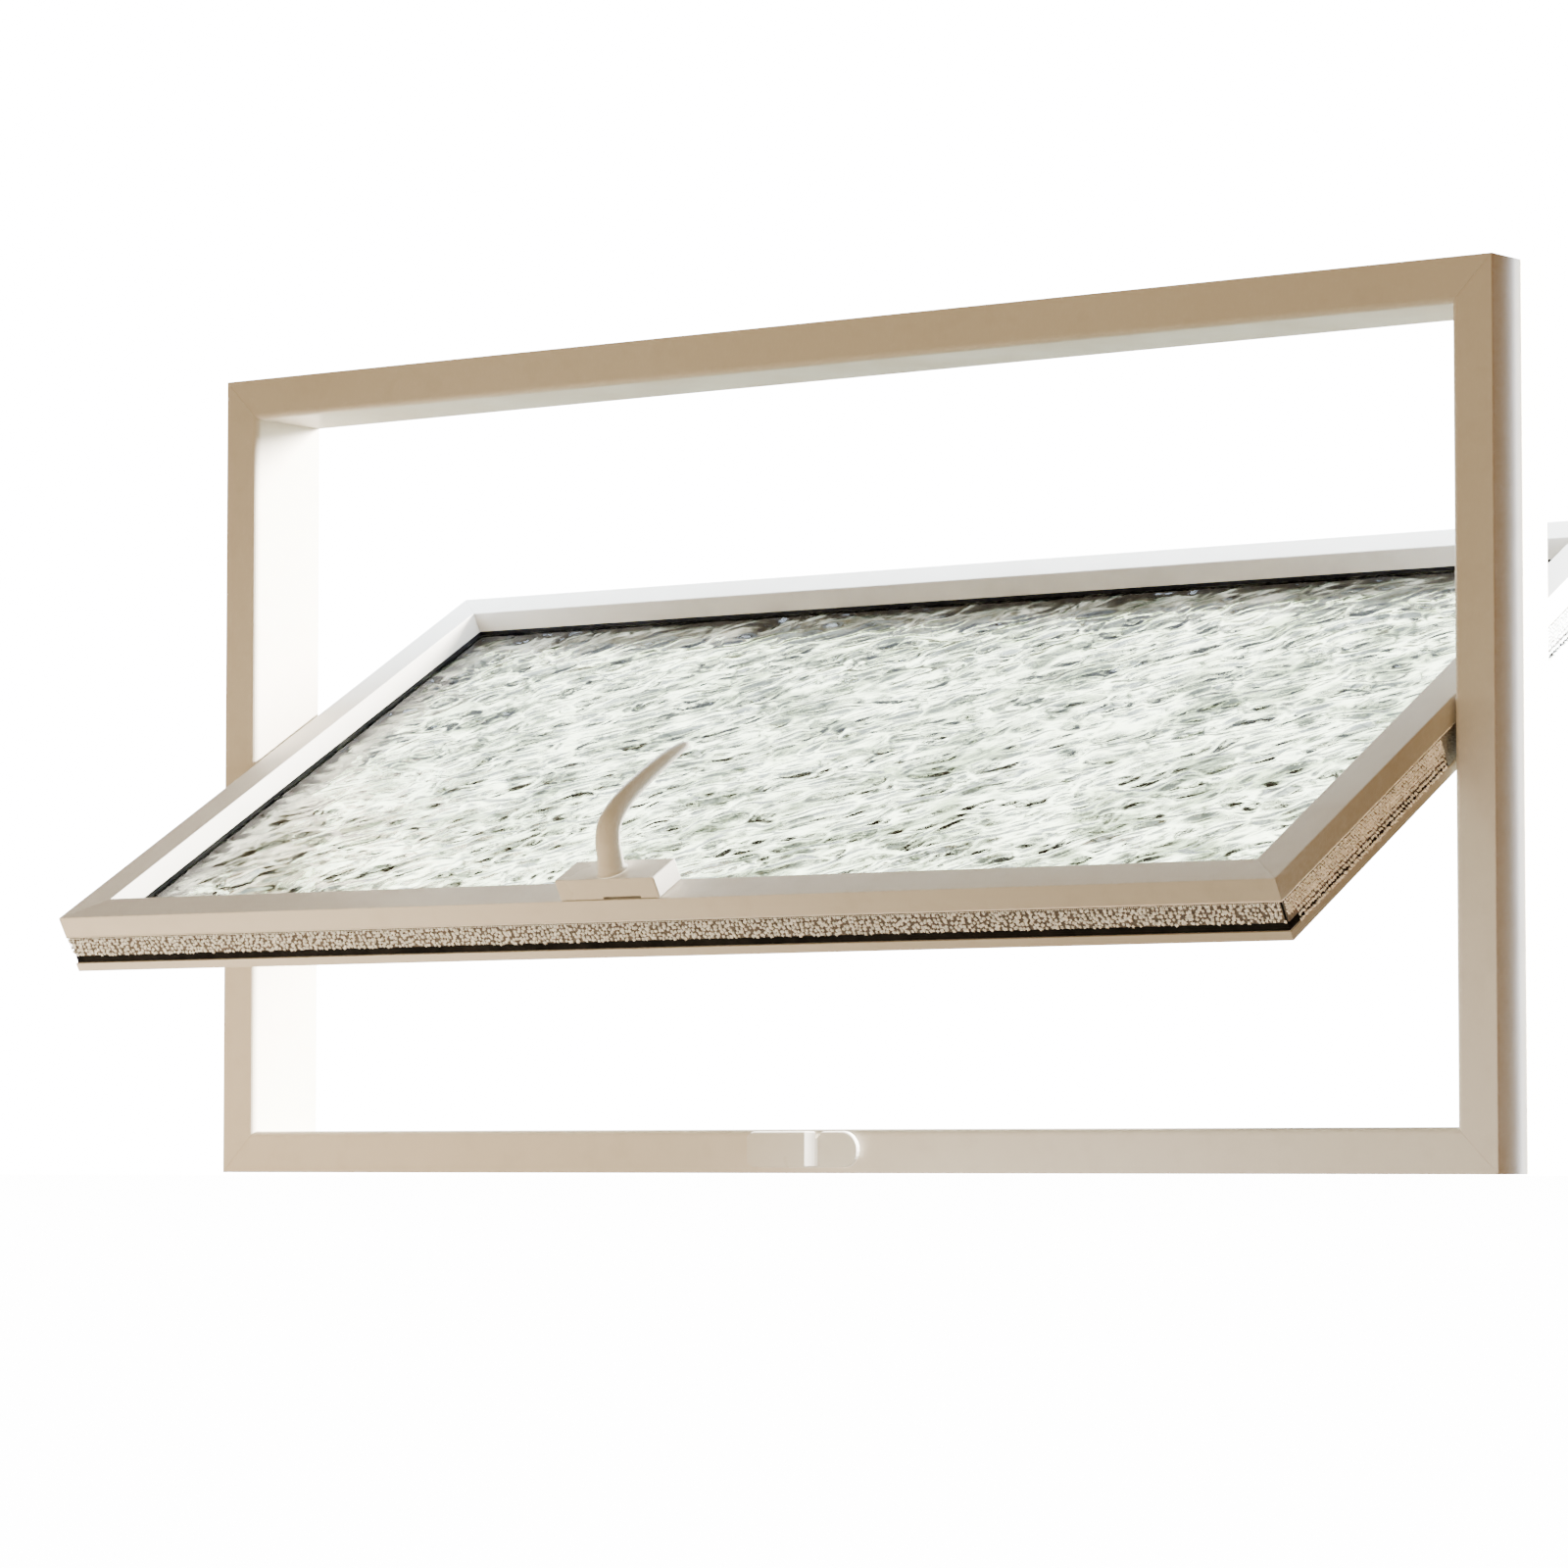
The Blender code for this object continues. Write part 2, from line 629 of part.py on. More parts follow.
def make_pivot(name, sign, jamb, stile):
    """One pivot. Distances along it start at the reveal and grow into the jamb."""

    def at(distance):
        return sign * (REVEAL_X + distance)

    def hung(kind):
        return f"pivot_{kind}_{name}"

    bore = ring(PIN_RADIUS + RUNNING, BORE_SIDES)
    housing_start = FRAME_WALL + GAP
    housing_end = housing_start + HOUSING_THICKNESS
    dog_end = housing_start + DOG_LENGTH
    pin_end = dog_end + PIN_BEARING

    # In the jamb
    shut = math.radians(90)  # the stop points up when the sash is shut and outside when it is level
    swing = DOG_HALF_ANGLE + DOG_PLAY
    pocket = sector(DOG_RADIUS + GAP, shut - TRAVEL - swing, shut + swing, 12)
    block = box_outline(-HOUSING_DEPTH / 2, -HOUSING_LENGTH / 2, HOUSING_DEPTH / 2, HOUSING_LENGTH / 2)
    housing = place(hung("housing"), prism_x(block, at(housing_start), at(housing_end)), STEEL, pivot_axes)
    cut(housing, prism_x(bore, at(housing_start - GAP), at(pin_end + GAP)))
    cut(housing, prism_x(pocket, at(housing_start - GAP), at(dog_end + GAP)))
    drill(jamb, prism_x(ring(DOG_RADIUS + GAP, DISC_SIDES), at(-GAP), at(housing_start)), pivot_axes)
    screw_z = HOUSING_LENGTH / 2 - 2 * SCREW_HEAD_RADIUS
    spots = [(at(GAP), 0, z) for z in (-screw_z, screw_z)]
    length = housing_end - 4 * GAP
    names = [hung("housing_screw_lower"), hung("housing_screw_upper")]
    screws(names, spots, (sign, 0, 0), length, pivot_axes, [jamb, housing])

    # On the sash
    plate_face = -SASH_GAP - GAP
    plate_back = -SASH_GAP - GROOVE_INSET + GAP
    near, far = SASH_ROOM_FACE + LIP_END + GAP, SASH_ROOM_FACE + GROOVE_END - GAP
    outline = box_outline(near, -PLATE_LENGTH / 2, far, PLATE_LENGTH / 2)
    plate = place(hung("plate"), prism_x(outline, at(plate_back), at(plate_face), [bore]), STEEL, sash_axes)
    washer = prism_x(ring(WASHER_RADIUS, DISC_SIDES), at(plate_face + GAP), at(-GAP), [bore])
    place(hung("washer"), washer, NYLON, sash_axes)
    pin_solid = prism_x(ring(PIN_RADIUS, BORE_SIDES), at(plate_back + GAP), at(pin_end))
    pin = place(hung("pin"), pin_solid, STEEL, sash_axes)
    stop = sector(DOG_RADIUS, shut - DOG_HALF_ANGLE, shut + DOG_HALF_ANGLE, 4)
    dog = place(hung("stop_shape"), prism_x(stop, at(housing_start), at(dog_end)), None, sash_axes)
    dog.hide_render = True
    dog.display_type = "WIRE"
    joined = pin.modifiers.new("stop", "BOOLEAN")
    joined.operation = "UNION"
    joined.object = dog
    screw_z = PLATE_LENGTH / 2 - 2 * SCREW_HEAD_RADIUS
    spots = [(at(plate_face), (near + far) / 2, z) for z in (-screw_z, screw_z)]
    length = GROOVE_INSET + SASH_WALL + SCREW_RADIUS
    names = [hung("plate_screw_lower"), hung("plate_screw_upper")]
    screws(names, spots, (-sign, 0, 0), length, sash_axes, [stile, plate])


# Handle --------------------------------------------------------------------------------------------------

# Side view of the lever: distance from the spindle, height above the sash, width across, thickness
LEVER_PATH = [
    (0.0000, 0.0162, 0.0168, 0.0160),
    (0.0022, 0.0235, 0.0168, 0.0146),
    (0.0052, 0.0330, 0.0167, 0.0128),
    (0.0130, 0.0418, 0.0166, 0.0110),
    (0.0300, 0.0472, 0.0162, 0.0094),
    (0.0560, 0.0495, 0.0150, 0.0084),
    (0.0830, 0.0500, 0.0132, 0.0070),
    (0.1010, 0.0490, 0.0098, 0.0050),
    (0.1065, 0.0485, 0.0030, 0.0022),
]
LEVER_STEPS = 3
LEVER_SIDES = 20


def smooth_row(rows, t):
    """A point of the Catmull-Rom curve through rows, where t counts rows from the first."""
    last = len(rows) - 1
    i = min(int(t), last - 1)
    f = t - i
    p0, p1, p2, p3 = (Vector(rows[max(0, min(last, i + k))]) for k in (-1, 0, 1, 2))
    second = 2 * p0 - 5 * p1 + 4 * p2 - p3
    third = 3 * p1 - p0 - 3 * p2 + p3
    return 0.5 * (2 * p1 + (p2 - p0) * f + second * f**2 + third * f**3)


def lever_sections():
    hub_start = lever_heights()["hub"]
    top = BASE_HEIGHT + GAP
    sections = []
    collar_top = top + COLLAR_THICKNESS
    foot = [(HUB_RADIUS, hub_start), (HUB_RADIUS, top), (COLLAR_RADIUS, top), (COLLAR_RADIUS, collar_top)]
    for radius, height in foot:
        sections.append([(x, y, height) for x, y in ring(radius, LEVER_SIDES)])
    count = (len(LEVER_PATH) - 1) * LEVER_STEPS
    for step in range(count + 1):
        t = step / LEVER_STEPS
        here = smooth_row(LEVER_PATH, t)
        ahead = smooth_row(LEVER_PATH, min(t + 0.05, len(LEVER_PATH) - 1.0))
        behind = smooth_row(LEVER_PATH, max(t - 0.05, 0.0))
        along = Vector((ahead[0] - behind[0], ahead[1] - behind[1])).normalized()
        if step == 0:
            along = Vector((0, 1))
        section = []
        for a, b in ring(0.5, LEVER_SIDES):
            out = b * here[3]
            section.append((a * here[2], here[0] + out * along.y, here[1] - out * along.x))
        sections.append(section)
    return sections


def lever_heights():
    """Heights of the stack on the spindle, from the nose up to the hub."""
    nose_top = NOSE_BOTTOM + NOSE_THICKNESS
    bridge = nose_top + GAP
    thrust = bridge + BRIDGE_THICKNESS + GAP
    hub = thrust + THRUST_WASHER_THICKNESS + GAP
    return {"nose_top": nose_top, "bridge": bridge, "thrust": thrust, "hub": hub}


def square(width):
    return box_outline(-width / 2, -width / 2, width / 2, width / 2)


def nose_outline():
    """A round hub with a round-tipped tongue towards +X."""
    half = NOSE_WIDTH / 2
    join = math.asin(half / NOSE_HUB_RADIUS)
    points = []
    for i in range(17):
        a = join + (2 * math.pi - 2 * join) * i / 16
        points.append((NOSE_HUB_RADIUS * math.cos(a), NOSE_HUB_RADIUS * math.sin(a)))
    tip = NOSE_LENGTH - half
    for i in range(9):
        a = -math.pi / 2 + math.pi * i / 8
        points.append((tip + half * math.cos(a), half * math.sin(a)))
    return points


def make_handle(rail):
    heights = lever_heights()
    half = BASE_LENGTH / 2
    front = BASE_INSET - HANDLE_INSET
    back = front + BASE_WIDTH
    inside = (-half + BASE_WALL, front + BASE_WALL, half - BASE_WALL, back - BASE_WALL)
    outline = box_outline(-half, front, half, back)
    cover = place("handle_cover", prism_z(outline, GAP, BASE_HEIGHT), HARDWARE_PAINT, handle_axes)
    bevel = cover.modifiers.new("edges", "BEVEL")
    bevel.width = BASE_ROUND
    bevel.segments = 2
    cut(cover, prism_z(box_outline(*inside), -BASE_WALL, BASE_HEIGHT - BASE_WALL))
    hole = ring(HUB_RADIUS + 2 * RUNNING, DISC_SIDES)
    cut(cover, prism_z(hole, BASE_HEIGHT - 2 * BASE_WALL, BASE_HEIGHT + BASE_WALL))
    slot_top = heights["nose_top"] + NOSE_CLEARANCE
    slot_left = -NOSE_WIDTH / 2 - 2 * NOSE_CLEARANCE
    slot = box_outline(slot_left, front - BASE_WALL, NOSE_LENGTH + NOSE_CLEARANCE, 0)
    cut(cover, prism_z(slot, -BASE_WALL, slot_top))

    lift = box_outline(BASE_WALL - half, front - BASE_WALL, half - BASE_WALL, front + 2 * BASE_WALL)
    cut(cover, prism_z(lift, -BASE_WALL, FRONT_LIFT))

    # The plate under the cover stands on two feet, and the nose turns below it
    low_x, low_y, high_x, high_y = inside
    top = heights["bridge"] + BRIDGE_THICKNESS
    end = high_x - GAP
    under = heights["bridge"]
    outline = [(-end, GAP), (-FOOT_START, GAP), (-FOOT_START, under), (FOOT_START, under)]
    outline += [(FOOT_START, GAP), (end, GAP), (end, top), (-end, top)]
    bridge = place("handle_bridge", prism_y(outline, low_y + GAP, high_y - GAP), STEEL, handle_axes)
    cut(bridge, prism_z(ring(bore_radius(), BORE_SIDES), under - GAP, top + GAP))
    screw_x = FOOT_START + BASE_FOOT / 2
    spots = [(x, 0, top - GAP) for x in (-screw_x, screw_x)]
    names = ["handle_screw_left", "handle_screw_right"]
    screws(names, spots, (0, 0, -1), top + SASH_WALL + SCREW_RADIUS, handle_axes, [rail, bridge])
    make_turning_pieces(heights)


def bore_radius():
    return SPINDLE_WIDTH / math.sqrt(2) + RUNNING


def make_turning_pieces(heights):
    """What turns with the lever."""
    socket = SPINDLE_WIDTH + 2 * RUNNING
    nose = prism_z(nose_outline(), NOSE_BOTTOM, heights["nose_top"], [square(socket)])
    place("handle_nose", nose, STEEL, handle_axes)
    spindle = prism_z(square(SPINDLE_WIDTH), NOSE_BOTTOM, SOCKET_TOP - GAP)
    place("handle_spindle", spindle, STEEL, handle_axes)
    thrust = heights["thrust"]
    bore = ring(bore_radius(), BORE_SIDES)
    washer = prism_z(ring(HUB_RADIUS, BORE_SIDES), thrust, thrust + THRUST_WASHER_THICKNESS, [bore])
    place("handle_washer", washer, NYLON, handle_axes)
    lever = place("handle_lever", loft(lever_sections()), HARDWARE_PAINT, handle_axes)
    cut(lever, prism_z(square(socket), heights["hub"] - GAP, SOCKET_TOP))


# Keeper --------------------------------------------------------------------------------------------------

def keeper_half_height(x):
    """Half the keeper's height at x from its middle: a half-round right end, a rounded left end."""
    half = KEEPER_HEIGHT / 2
    right = x - (KEEPER_LENGTH / 2 - half)
    left = -KEEPER_LENGTH / 2 + KEEPER_LEFT_RADIUS - x
    if right > 0:
        return math.sqrt(max(half**2 - right**2, 0))
    if left > 0:
        return half - KEEPER_LEFT_RADIUS + math.sqrt(max(KEEPER_LEFT_RADIUS**2 - left**2, 0))
    return half


def keeper_thickness(x):
    """The raised hood, a hollow ramp, then the low end."""
    from_left = x + KEEPER_LENGTH / 2 - HOOD_LENGTH
    share = min(max(from_left / HOOD_RAMP, 0), 1)
    return KEEPER_LOW + (HOOD_HEIGHT - KEEPER_LOW) * (1 - share) ** 2


def make_keeper(sill):
    half_length = KEEPER_LENGTH / 2
    round_off = KEEPER_ROUND
    stations = [-half_length + KEEPER_LEFT_RADIUS * (1 - math.cos(math.pi / 2 * i / 4)) for i in range(5)]
    ramp = -half_length + HOOD_LENGTH
    stations += [ramp + HOOD_RAMP * i / 6 for i in range(7)]
    half = KEEPER_HEIGHT / 2
    stations += [half_length - half + half * math.sin(math.pi / 2 * i / 8) for i in range(8)]
    stations.append(half_length - KEEPER_TIP)
    mid_round = round_off * (1 - math.sqrt(0.5))
    sections = []
    for x in stations:
        high = max(keeper_half_height(x), round_off + GAP)
        thick = keeper_thickness(x)
        if x in (stations[0], stations[-1]):
            thick -= round_off
        shoulder, edge = thick - round_off, high - round_off
        sections.append(
            [
                (x, 0, -high),
                (x, 0, high),
                (x, -shoulder, high),
                (x, -thick + mid_round, high - mid_round),
                (x, -thick, edge),
                (x, -thick, -edge),
                (x, -thick + mid_round, -high + mid_round),
                (x, -shoulder, -high),
            ]
        )
    middle = FRAME_FACE - KEEPER_DROP - KEEPER_HEIGHT / 2
    face = ROOM_FACE - GAP
    keeper = place("keeper", loft(sections), HARDWARE_PAINT, frame_axes, (KEEPER_X, face, middle))

    # The pocket that the nose turns down into, a slice of the circle it sweeps
    axis_z = FRAME_FACE + SASH_GAP + HANDLE_INSET
    reach = FOOT_START
    left = -NOSE_WIDTH / 2 - 2 * NOSE_CLEARANCE
    first, last = -math.acos(left / reach), -math.asin(SASH_GAP / reach)
    sweep = [first + (last - first) * i / 14 for i in range(15)]
    outline = [(HANDLE_X + left, axis_z)]
    outline += [(HANDLE_X + reach * math.cos(a), axis_z + reach * math.sin(a)) for a in sweep]
    cut(keeper, prism_y(outline, ROOM_FACE - POCKET_DEPTH, ROOM_FACE + GAP))

    spots = []
    behind = ROOM_FACE + FRAME_WALL + SCREW_HEAD_HEIGHT + GAP
    for x in (-half_length + KEEPER_LEFT_RADIUS, half_length - KEEPER_HEIGHT / 2):
        spots.append((KEEPER_X + x, behind, middle))
    length = behind - ROOM_FACE + KEEPER_SCREW_DEPTH
    names = ["keeper_screw_left", "keeper_screw_right"]
    screws(names, spots, (0, -1, 0), length, frame_axes, [sill, keeper])


# The window ----------------------------------------------------------------------------------------------

frame_bars = make_frame()
sash_bars = make_sash()
make_glazing()
make_edge_seals()
make_pivot("left", -1, frame_bars["left"], sash_bars["left"])
make_pivot("right", 1, frame_bars["right"], sash_bars["right"])
make_handle(sash_bars["bottom"])
make_keeper(frame_bars["bottom"])
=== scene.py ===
import json
import math
import random
from collections import namedtuple

import bpy
from mathutils import Matrix, Vector, noise

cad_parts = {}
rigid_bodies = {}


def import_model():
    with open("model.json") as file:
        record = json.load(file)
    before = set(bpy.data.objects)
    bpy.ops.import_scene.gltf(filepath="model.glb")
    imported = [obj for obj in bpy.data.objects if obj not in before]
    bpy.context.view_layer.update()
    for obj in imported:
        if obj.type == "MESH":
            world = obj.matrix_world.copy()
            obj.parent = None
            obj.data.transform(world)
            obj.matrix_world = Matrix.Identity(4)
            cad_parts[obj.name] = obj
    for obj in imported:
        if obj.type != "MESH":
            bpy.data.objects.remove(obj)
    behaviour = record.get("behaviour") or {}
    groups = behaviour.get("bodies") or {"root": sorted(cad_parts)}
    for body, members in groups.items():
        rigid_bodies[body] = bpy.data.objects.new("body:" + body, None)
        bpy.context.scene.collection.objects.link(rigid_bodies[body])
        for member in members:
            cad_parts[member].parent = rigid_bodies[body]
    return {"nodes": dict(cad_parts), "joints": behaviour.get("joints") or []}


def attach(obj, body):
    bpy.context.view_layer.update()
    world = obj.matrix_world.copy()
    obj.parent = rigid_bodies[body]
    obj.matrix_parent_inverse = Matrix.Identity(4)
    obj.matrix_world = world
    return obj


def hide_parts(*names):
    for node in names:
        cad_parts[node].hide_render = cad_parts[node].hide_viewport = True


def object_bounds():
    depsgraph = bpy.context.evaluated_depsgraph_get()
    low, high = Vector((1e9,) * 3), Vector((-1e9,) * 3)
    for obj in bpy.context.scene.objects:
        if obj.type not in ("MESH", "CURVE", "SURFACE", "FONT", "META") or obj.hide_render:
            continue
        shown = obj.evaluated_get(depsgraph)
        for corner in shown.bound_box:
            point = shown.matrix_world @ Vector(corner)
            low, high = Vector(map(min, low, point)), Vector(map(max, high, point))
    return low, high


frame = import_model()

CAD_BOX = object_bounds()

# Relief glass
RELIEF_STEP = 0.0018  # grid pitch on the pane
RELIEF_DEPTH = 0.0032
RELIEF_LENGTH = 0.0330  # along a ripple
RELIEF_WIDTH = 0.0205  # across the ripples
RELIEF_SLANT = math.radians(26)
RELIEF_MEAN = 0.30  # this and the three below it are shares of RELIEF_DEPTH
SWELL_SHARE = 0.50
RIPPLE_SHARE = 0.30
CREASE_SHARE = 0.34
SWAY = 0.8  # how far the ripples waver, in ripples
SWAYS_PER_METRE = (30, 36)
# Size of the dark strokes painted into the glass's tint as painted shade
STROKE_LENGTH = 0.046
STROKE_WIDTH = 0.024
CALM_START = 0.011  # from the pane's edge, where the relief begins
CALM_END = 0.015
SHARP_ANGLE = math.radians(50)

# Pile
Row = namedtuple("Row", "pitch size slant ragged")  # size is half a tuft: along, in depth, in height
TUFT_RADIUS = 0.00142
TUFT_GROWTH = (0.82, 1.22)  # smallest and largest, as shares of the size
BACKING_DEPTH = 1.3 * TUFT_RADIUS  # of the tape, below the strip's face
RAIL_SEAM = Row(0.0013, (0.00050, 0.00042, 0.0006), 0.3, 0.35)
RAIL_TUFTS = Row(0.0026, (TUFT_RADIUS, 0.95 * TUFT_RADIUS, 0.8 * TUFT_RADIUS), 0.5, 1.25)
STILE_STITCHES = Row(0.00135, (0.00062, 0.0017, 0.0006), 0.6, 0.45)
STILE_FRINGE = Row(0.0016875, (0.0008, 0.0018, 0.0008), 0.6, 0.6)
SEAM_DEPTH = 0.0004  # into the strip from its room side
TUFT_DEPTHS = (0.0024, 0.0012)  # of the first and last tufts, from the strip's room side and its outer side
STITCH_BAND = 0.0098  # width of the band of stitches on the stiles, before the fringe
STITCH_DEPTHS = (0.0010, 0.0014)  # of the first and last stitches, from the band's two sides
FRINGE_DEPTHS = (0.0012, 0.0006)  # of the first and last of the fringe, from the band and from the seal
FRINGE_CLEAR = 0.012  # from the sash's corners
TUFT_ROWS = 5
STITCH_ROWS = 5
FRINGE_ROWS = 3
PILE_REACH = 0.010  # a strip that ends this near a corner runs on to the mitre
PILE_MITRE = 0.0012

# Lip beside the pile
LIP_DEPTH = 0.0147  # from the sash's room face
LIP_INSET = 0.0003
LIP_RADIUS = 0.0005
LIP_SIDES = 10

# Lever, seen from the side: distance from the spindle, height above the sash, width across, thickness
LEVER_PATH = [
    (0.0000, 0.0164, 0.0176, 0.0170),
    (0.0022, 0.0235, 0.0168, 0.0146),
    (0.0052, 0.0330, 0.0167, 0.0128),
    (0.0130, 0.0418, 0.0166, 0.0110),
    (0.0300, 0.0472, 0.0162, 0.0094),
    (0.0560, 0.0495, 0.0150, 0.0084),
    (0.0830, 0.0500, 0.0132, 0.0070),
    (0.1010, 0.0490, 0.0098, 0.0050),
    (0.1065, 0.0485, 0.0030, 0.0022),
]
# Fillet where the lever meets its base: radius, height above the sash
LEVER_FOOT = [(0.0077, 0.0060), (0.0077, 0.0147), (0.0102, 0.0147), (0.0096, 0.0151), (0.0090, 0.0157)]
LEVER_STEPS = 8
LEVER_SIDES = 36
LEVER_NUDGE = 0.05  # rows of the path to each side, which give the loft its direction

# Stage
FLOOR_RADIUS = 14.0
DOME_RADIUS = 13.72
FLOOR_DROP = 0.0004
BACKDROP_GLOW = 16.0
FLOOR_GLOW = 14.0
# Light from each part of the world: THROUGH is what shows through the pane
OUTSIDE_ZENITH = (1.9, 2.1, 2.2)
OUTSIDE_SKY = (7.5, 8.1, 8.0)
OUTSIDE_HORIZON = (9.0, 10.0, 8.6)
THROUGH_SKY = (12.0, 13.2, 11.0)
THROUGH_HORIZON = (26.0, 28.6, 22.5)
OUTSIDE_GROUND = (1.10, 1.25, 0.95)
ROOM_HIGH = (0.52, 0.39, 0.21)
ROOM_LOW = (0.82, 0.64, 0.42)
ROOM_RIGHT = (0.40, 0.25, 0.11)
WALL_INSIDE = (0.30, 0.20, 0.11)
WALL_OUTSIDE = (0.72, 0.82, 1.00)
WALL_GLOW = 5.0
WALL_REACH = 3.0
WALL_GAP = 0.004

# Where one part of the world fades into the next: an axis, and the direction's share along it
GROUND_FADE = ("Z", -0.13, 0.01)
HORIZON_FADE = ("Z", 0.0, 0.12)
ZENITH_FADE = ("Z", 0.35, 0.65)
ROOM_FADE = ("Z", -0.3, 0.2)
RIGHT_FADE = ("X", 0.1, 0.7)
OUTSIDE_FADE = ("Y", -0.05, 0.12)

# Lamps: place, aim, size, watts, colour
SUNLIGHT = (1.0, 0.98, 0.95)
LAMPS = {
    "sill_strip": ((-0.42, -0.42, 0.02), (-0.30, 0, 0.05), (0.9, 0.1), 2.5, (1.0, 0.80, 0.56)),
    "right_strip": ((0.40, -0.22, -0.08), (0.46, 0, 0.25), (0.8, 0.08), 0.85, (0.96, 0.97, 0.94)),
    "low_sun": ((3.12, 1.12, 1.03), (0, 0, 0.25), (0.6, 0.6), 2500, SUNLIGHT),
    "high_sun": ((1.13, 2.75, 1.90), (0, 0, 0.25), (0.3, 0.3), 2900, SUNLIGHT),
    "lever_rim": ((0.14, 3.23, 1.30), (0, 0, 0.25), (0.3, 0.3), 1650, SUNLIGHT),
    "keeper_edge": ((1.95, 0.62, 2.83), (0, 0, 0.02), (0.3, 0.3), 2100, SUNLIGHT),
    "pile_fill": ((0.6, -2.2, -0.4), (0, 0, 0.2), (0.6, 0.6), 20, (1.0, 0.94, 0.84)),
    "rail_fill": ((-0.42, -0.40, 0.80), (-0.40, -0.20, 0.13), (0.3, 0.3), 1.3, (0.97, 0.98, 1.0)),
    "side_fill": ((2.4, -0.5, -0.1), (0, 0, 0.2), (0.6, 0.6), 36, (1.0, 0.66, 0.38)),
}
LIGHTS_ONLY = {
    "right_strip": ["frame_", "keeper"],
    "high_sun": ["handle_cover"],
    "lever_rim": ["lever"],
    "keeper_edge": ["keeper"],
    "pile_fill": ["tufts", "lip_bead"],
    "rail_fill": ["sash_rail_bottom"],
    "side_fill": ["tufts", "lip_bead"],
}
LIGHTS_ALL_BUT = {"low_sun": ["lever", "handle_cover", "keeper", "sash_rail_bottom"]}
CASTS_NO_SHADOW = ["lever_rim", "keeper_edge"]

# Camera
CAMERA_LENS = 137.27
CAMERA_PLACE = (2.25361, -3.10628, 0.00943)
CAMERA_TILT = 0.06255
CAMERA_TURN = 0.63711

NODES = frame["nodes"]
JOINTS = {joint["name"]: joint for joint in frame["joints"]}


# Axes ----------------------------------------------------------------------------------------------------

TILT = JOINTS["sash_tilt"]
SASH = Matrix.Translation(TILT["pos_m"]) @ Matrix.Rotation(math.radians(TILT["range_deg"][0]), 4, "X")
SPINDLE = Matrix.Translation(JOINTS["handle_turn"]["pos_m"])
HANDLE = SPINDLE @ SASH.to_3x3().to_4x4() @ Matrix.Rotation(math.pi / 2, 4, "X")


def box_in(axes, node):
    """Lowest and highest corners of a CAD node in these axes."""
    back = axes.inverted()
    places = [back @ v.co for v in NODES[node].data.vertices]
    low = Vector([min(p[i] for p in places) for i in range(3)])
    high = Vector([max(p[i] for p in places) for i in range(3)])
    return low, high


SASH_LOW = box_in(SASH, "sash_rail_bottom")[0]
SASH_HIGH = box_in(SASH, "sash_rail_top")[1]
SASH_MIDDLE = (SASH_LOW + SASH_HIGH) / 2
SEAL_HIGH = box_in(SASH, "edge_seal_lower")[1].y


# Materials -----------------------------------------------------------------------------------------------

class Surface:
    """A Principled material whose colour, roughness and bump come from procedural textures."""

    def __init__(self, name, colour, roughness, metallic=0.0):
        self.material = bpy.data.materials.new(name)
        self.material.use_nodes = True
        self.material.diffuse_color = (*colour, 1)
        self.tree = self.material.node_tree
        self.shader = self.tree.nodes["Principled BSDF"]
        self.shader.inputs["Base Color"].default_value = (*colour, 1)
        self.shader.inputs["Roughness"].default_value = roughness
        self.shader.inputs["Metallic"].default_value = metallic
        self.coordinates = self.node("ShaderNodeTexCoord").outputs["Object"]
        self.bumps = None

    def node(self, kind, **settings):
        made = self.tree.nodes.new(kind)
        for key, value in settings.items():
            setattr(made, key, value)
        return made

    def link(self, start, end):
        self.tree.links.new(start, end)

    def stretched(self, scale):
        mapping = self.node("ShaderNodeMapping")
        mapping.inputs["Scale"].default_value = scale
        self.link(self.coordinates, mapping.inputs["Vector"])
        return mapping.outputs["Vector"]

    def noise(self, scale, detail=3.0, stretch=(1, 1, 1)):
        made = self.node("ShaderNodeTexNoise")
        made.inputs["Scale"].default_value = scale
        made.inputs["Detail"].default_value = detail
        self.link(self.stretched(stretch), made.inputs["Vector"])
        return made.outputs["Fac"]

    def ramp(self, source, stops):
        """stops are (place, colour); a colour may be a single grey."""
        made = self.node("ShaderNodeValToRGB")
        elements = made.color_ramp.elements
        while len(elements) < len(stops):
            elements.new(0.5)
        for element, (place, colour) in zip(elements, stops):
            element.position = place
            element.color = (*colour, 1) if isinstance(colour, tuple) else (colour, colour, colour, 1)
        self.link(source, made.inputs["Fac"])
        return made.outputs["Color"]

    def blend(self, factor, first, second):
        made = self.node("ShaderNodeMix", data_type="RGBA")
        self.link(factor, made.inputs["Factor"])
        for value, socket in ((first, made.inputs[6]), (second, made.inputs[7])):
            if isinstance(value, tuple):
                socket.default_value = (*value, 1)
            else:
                self.link(value, socket)
        return made.outputs[2]

    def colour(self, source):
        self.link(source, self.shader.inputs["Base Color"])

    def roughness(self, source):
        self.link(source, self.shader.inputs["Roughness"])

    def bump(self, source, depth):
        """Adds relief of this depth in metres."""
        made = self.node("ShaderNodeBump")
        made.inputs["Strength"].default_value = 1.0
        made.inputs["Distance"].default_value = depth
        self.link(source, made.inputs["Height"])
        if self.bumps:
            self.link(self.bumps, made.inputs["Normal"])
        self.bumps = made.outputs["Normal"]
        self.link(self.bumps, self.shader.inputs["Normal"])


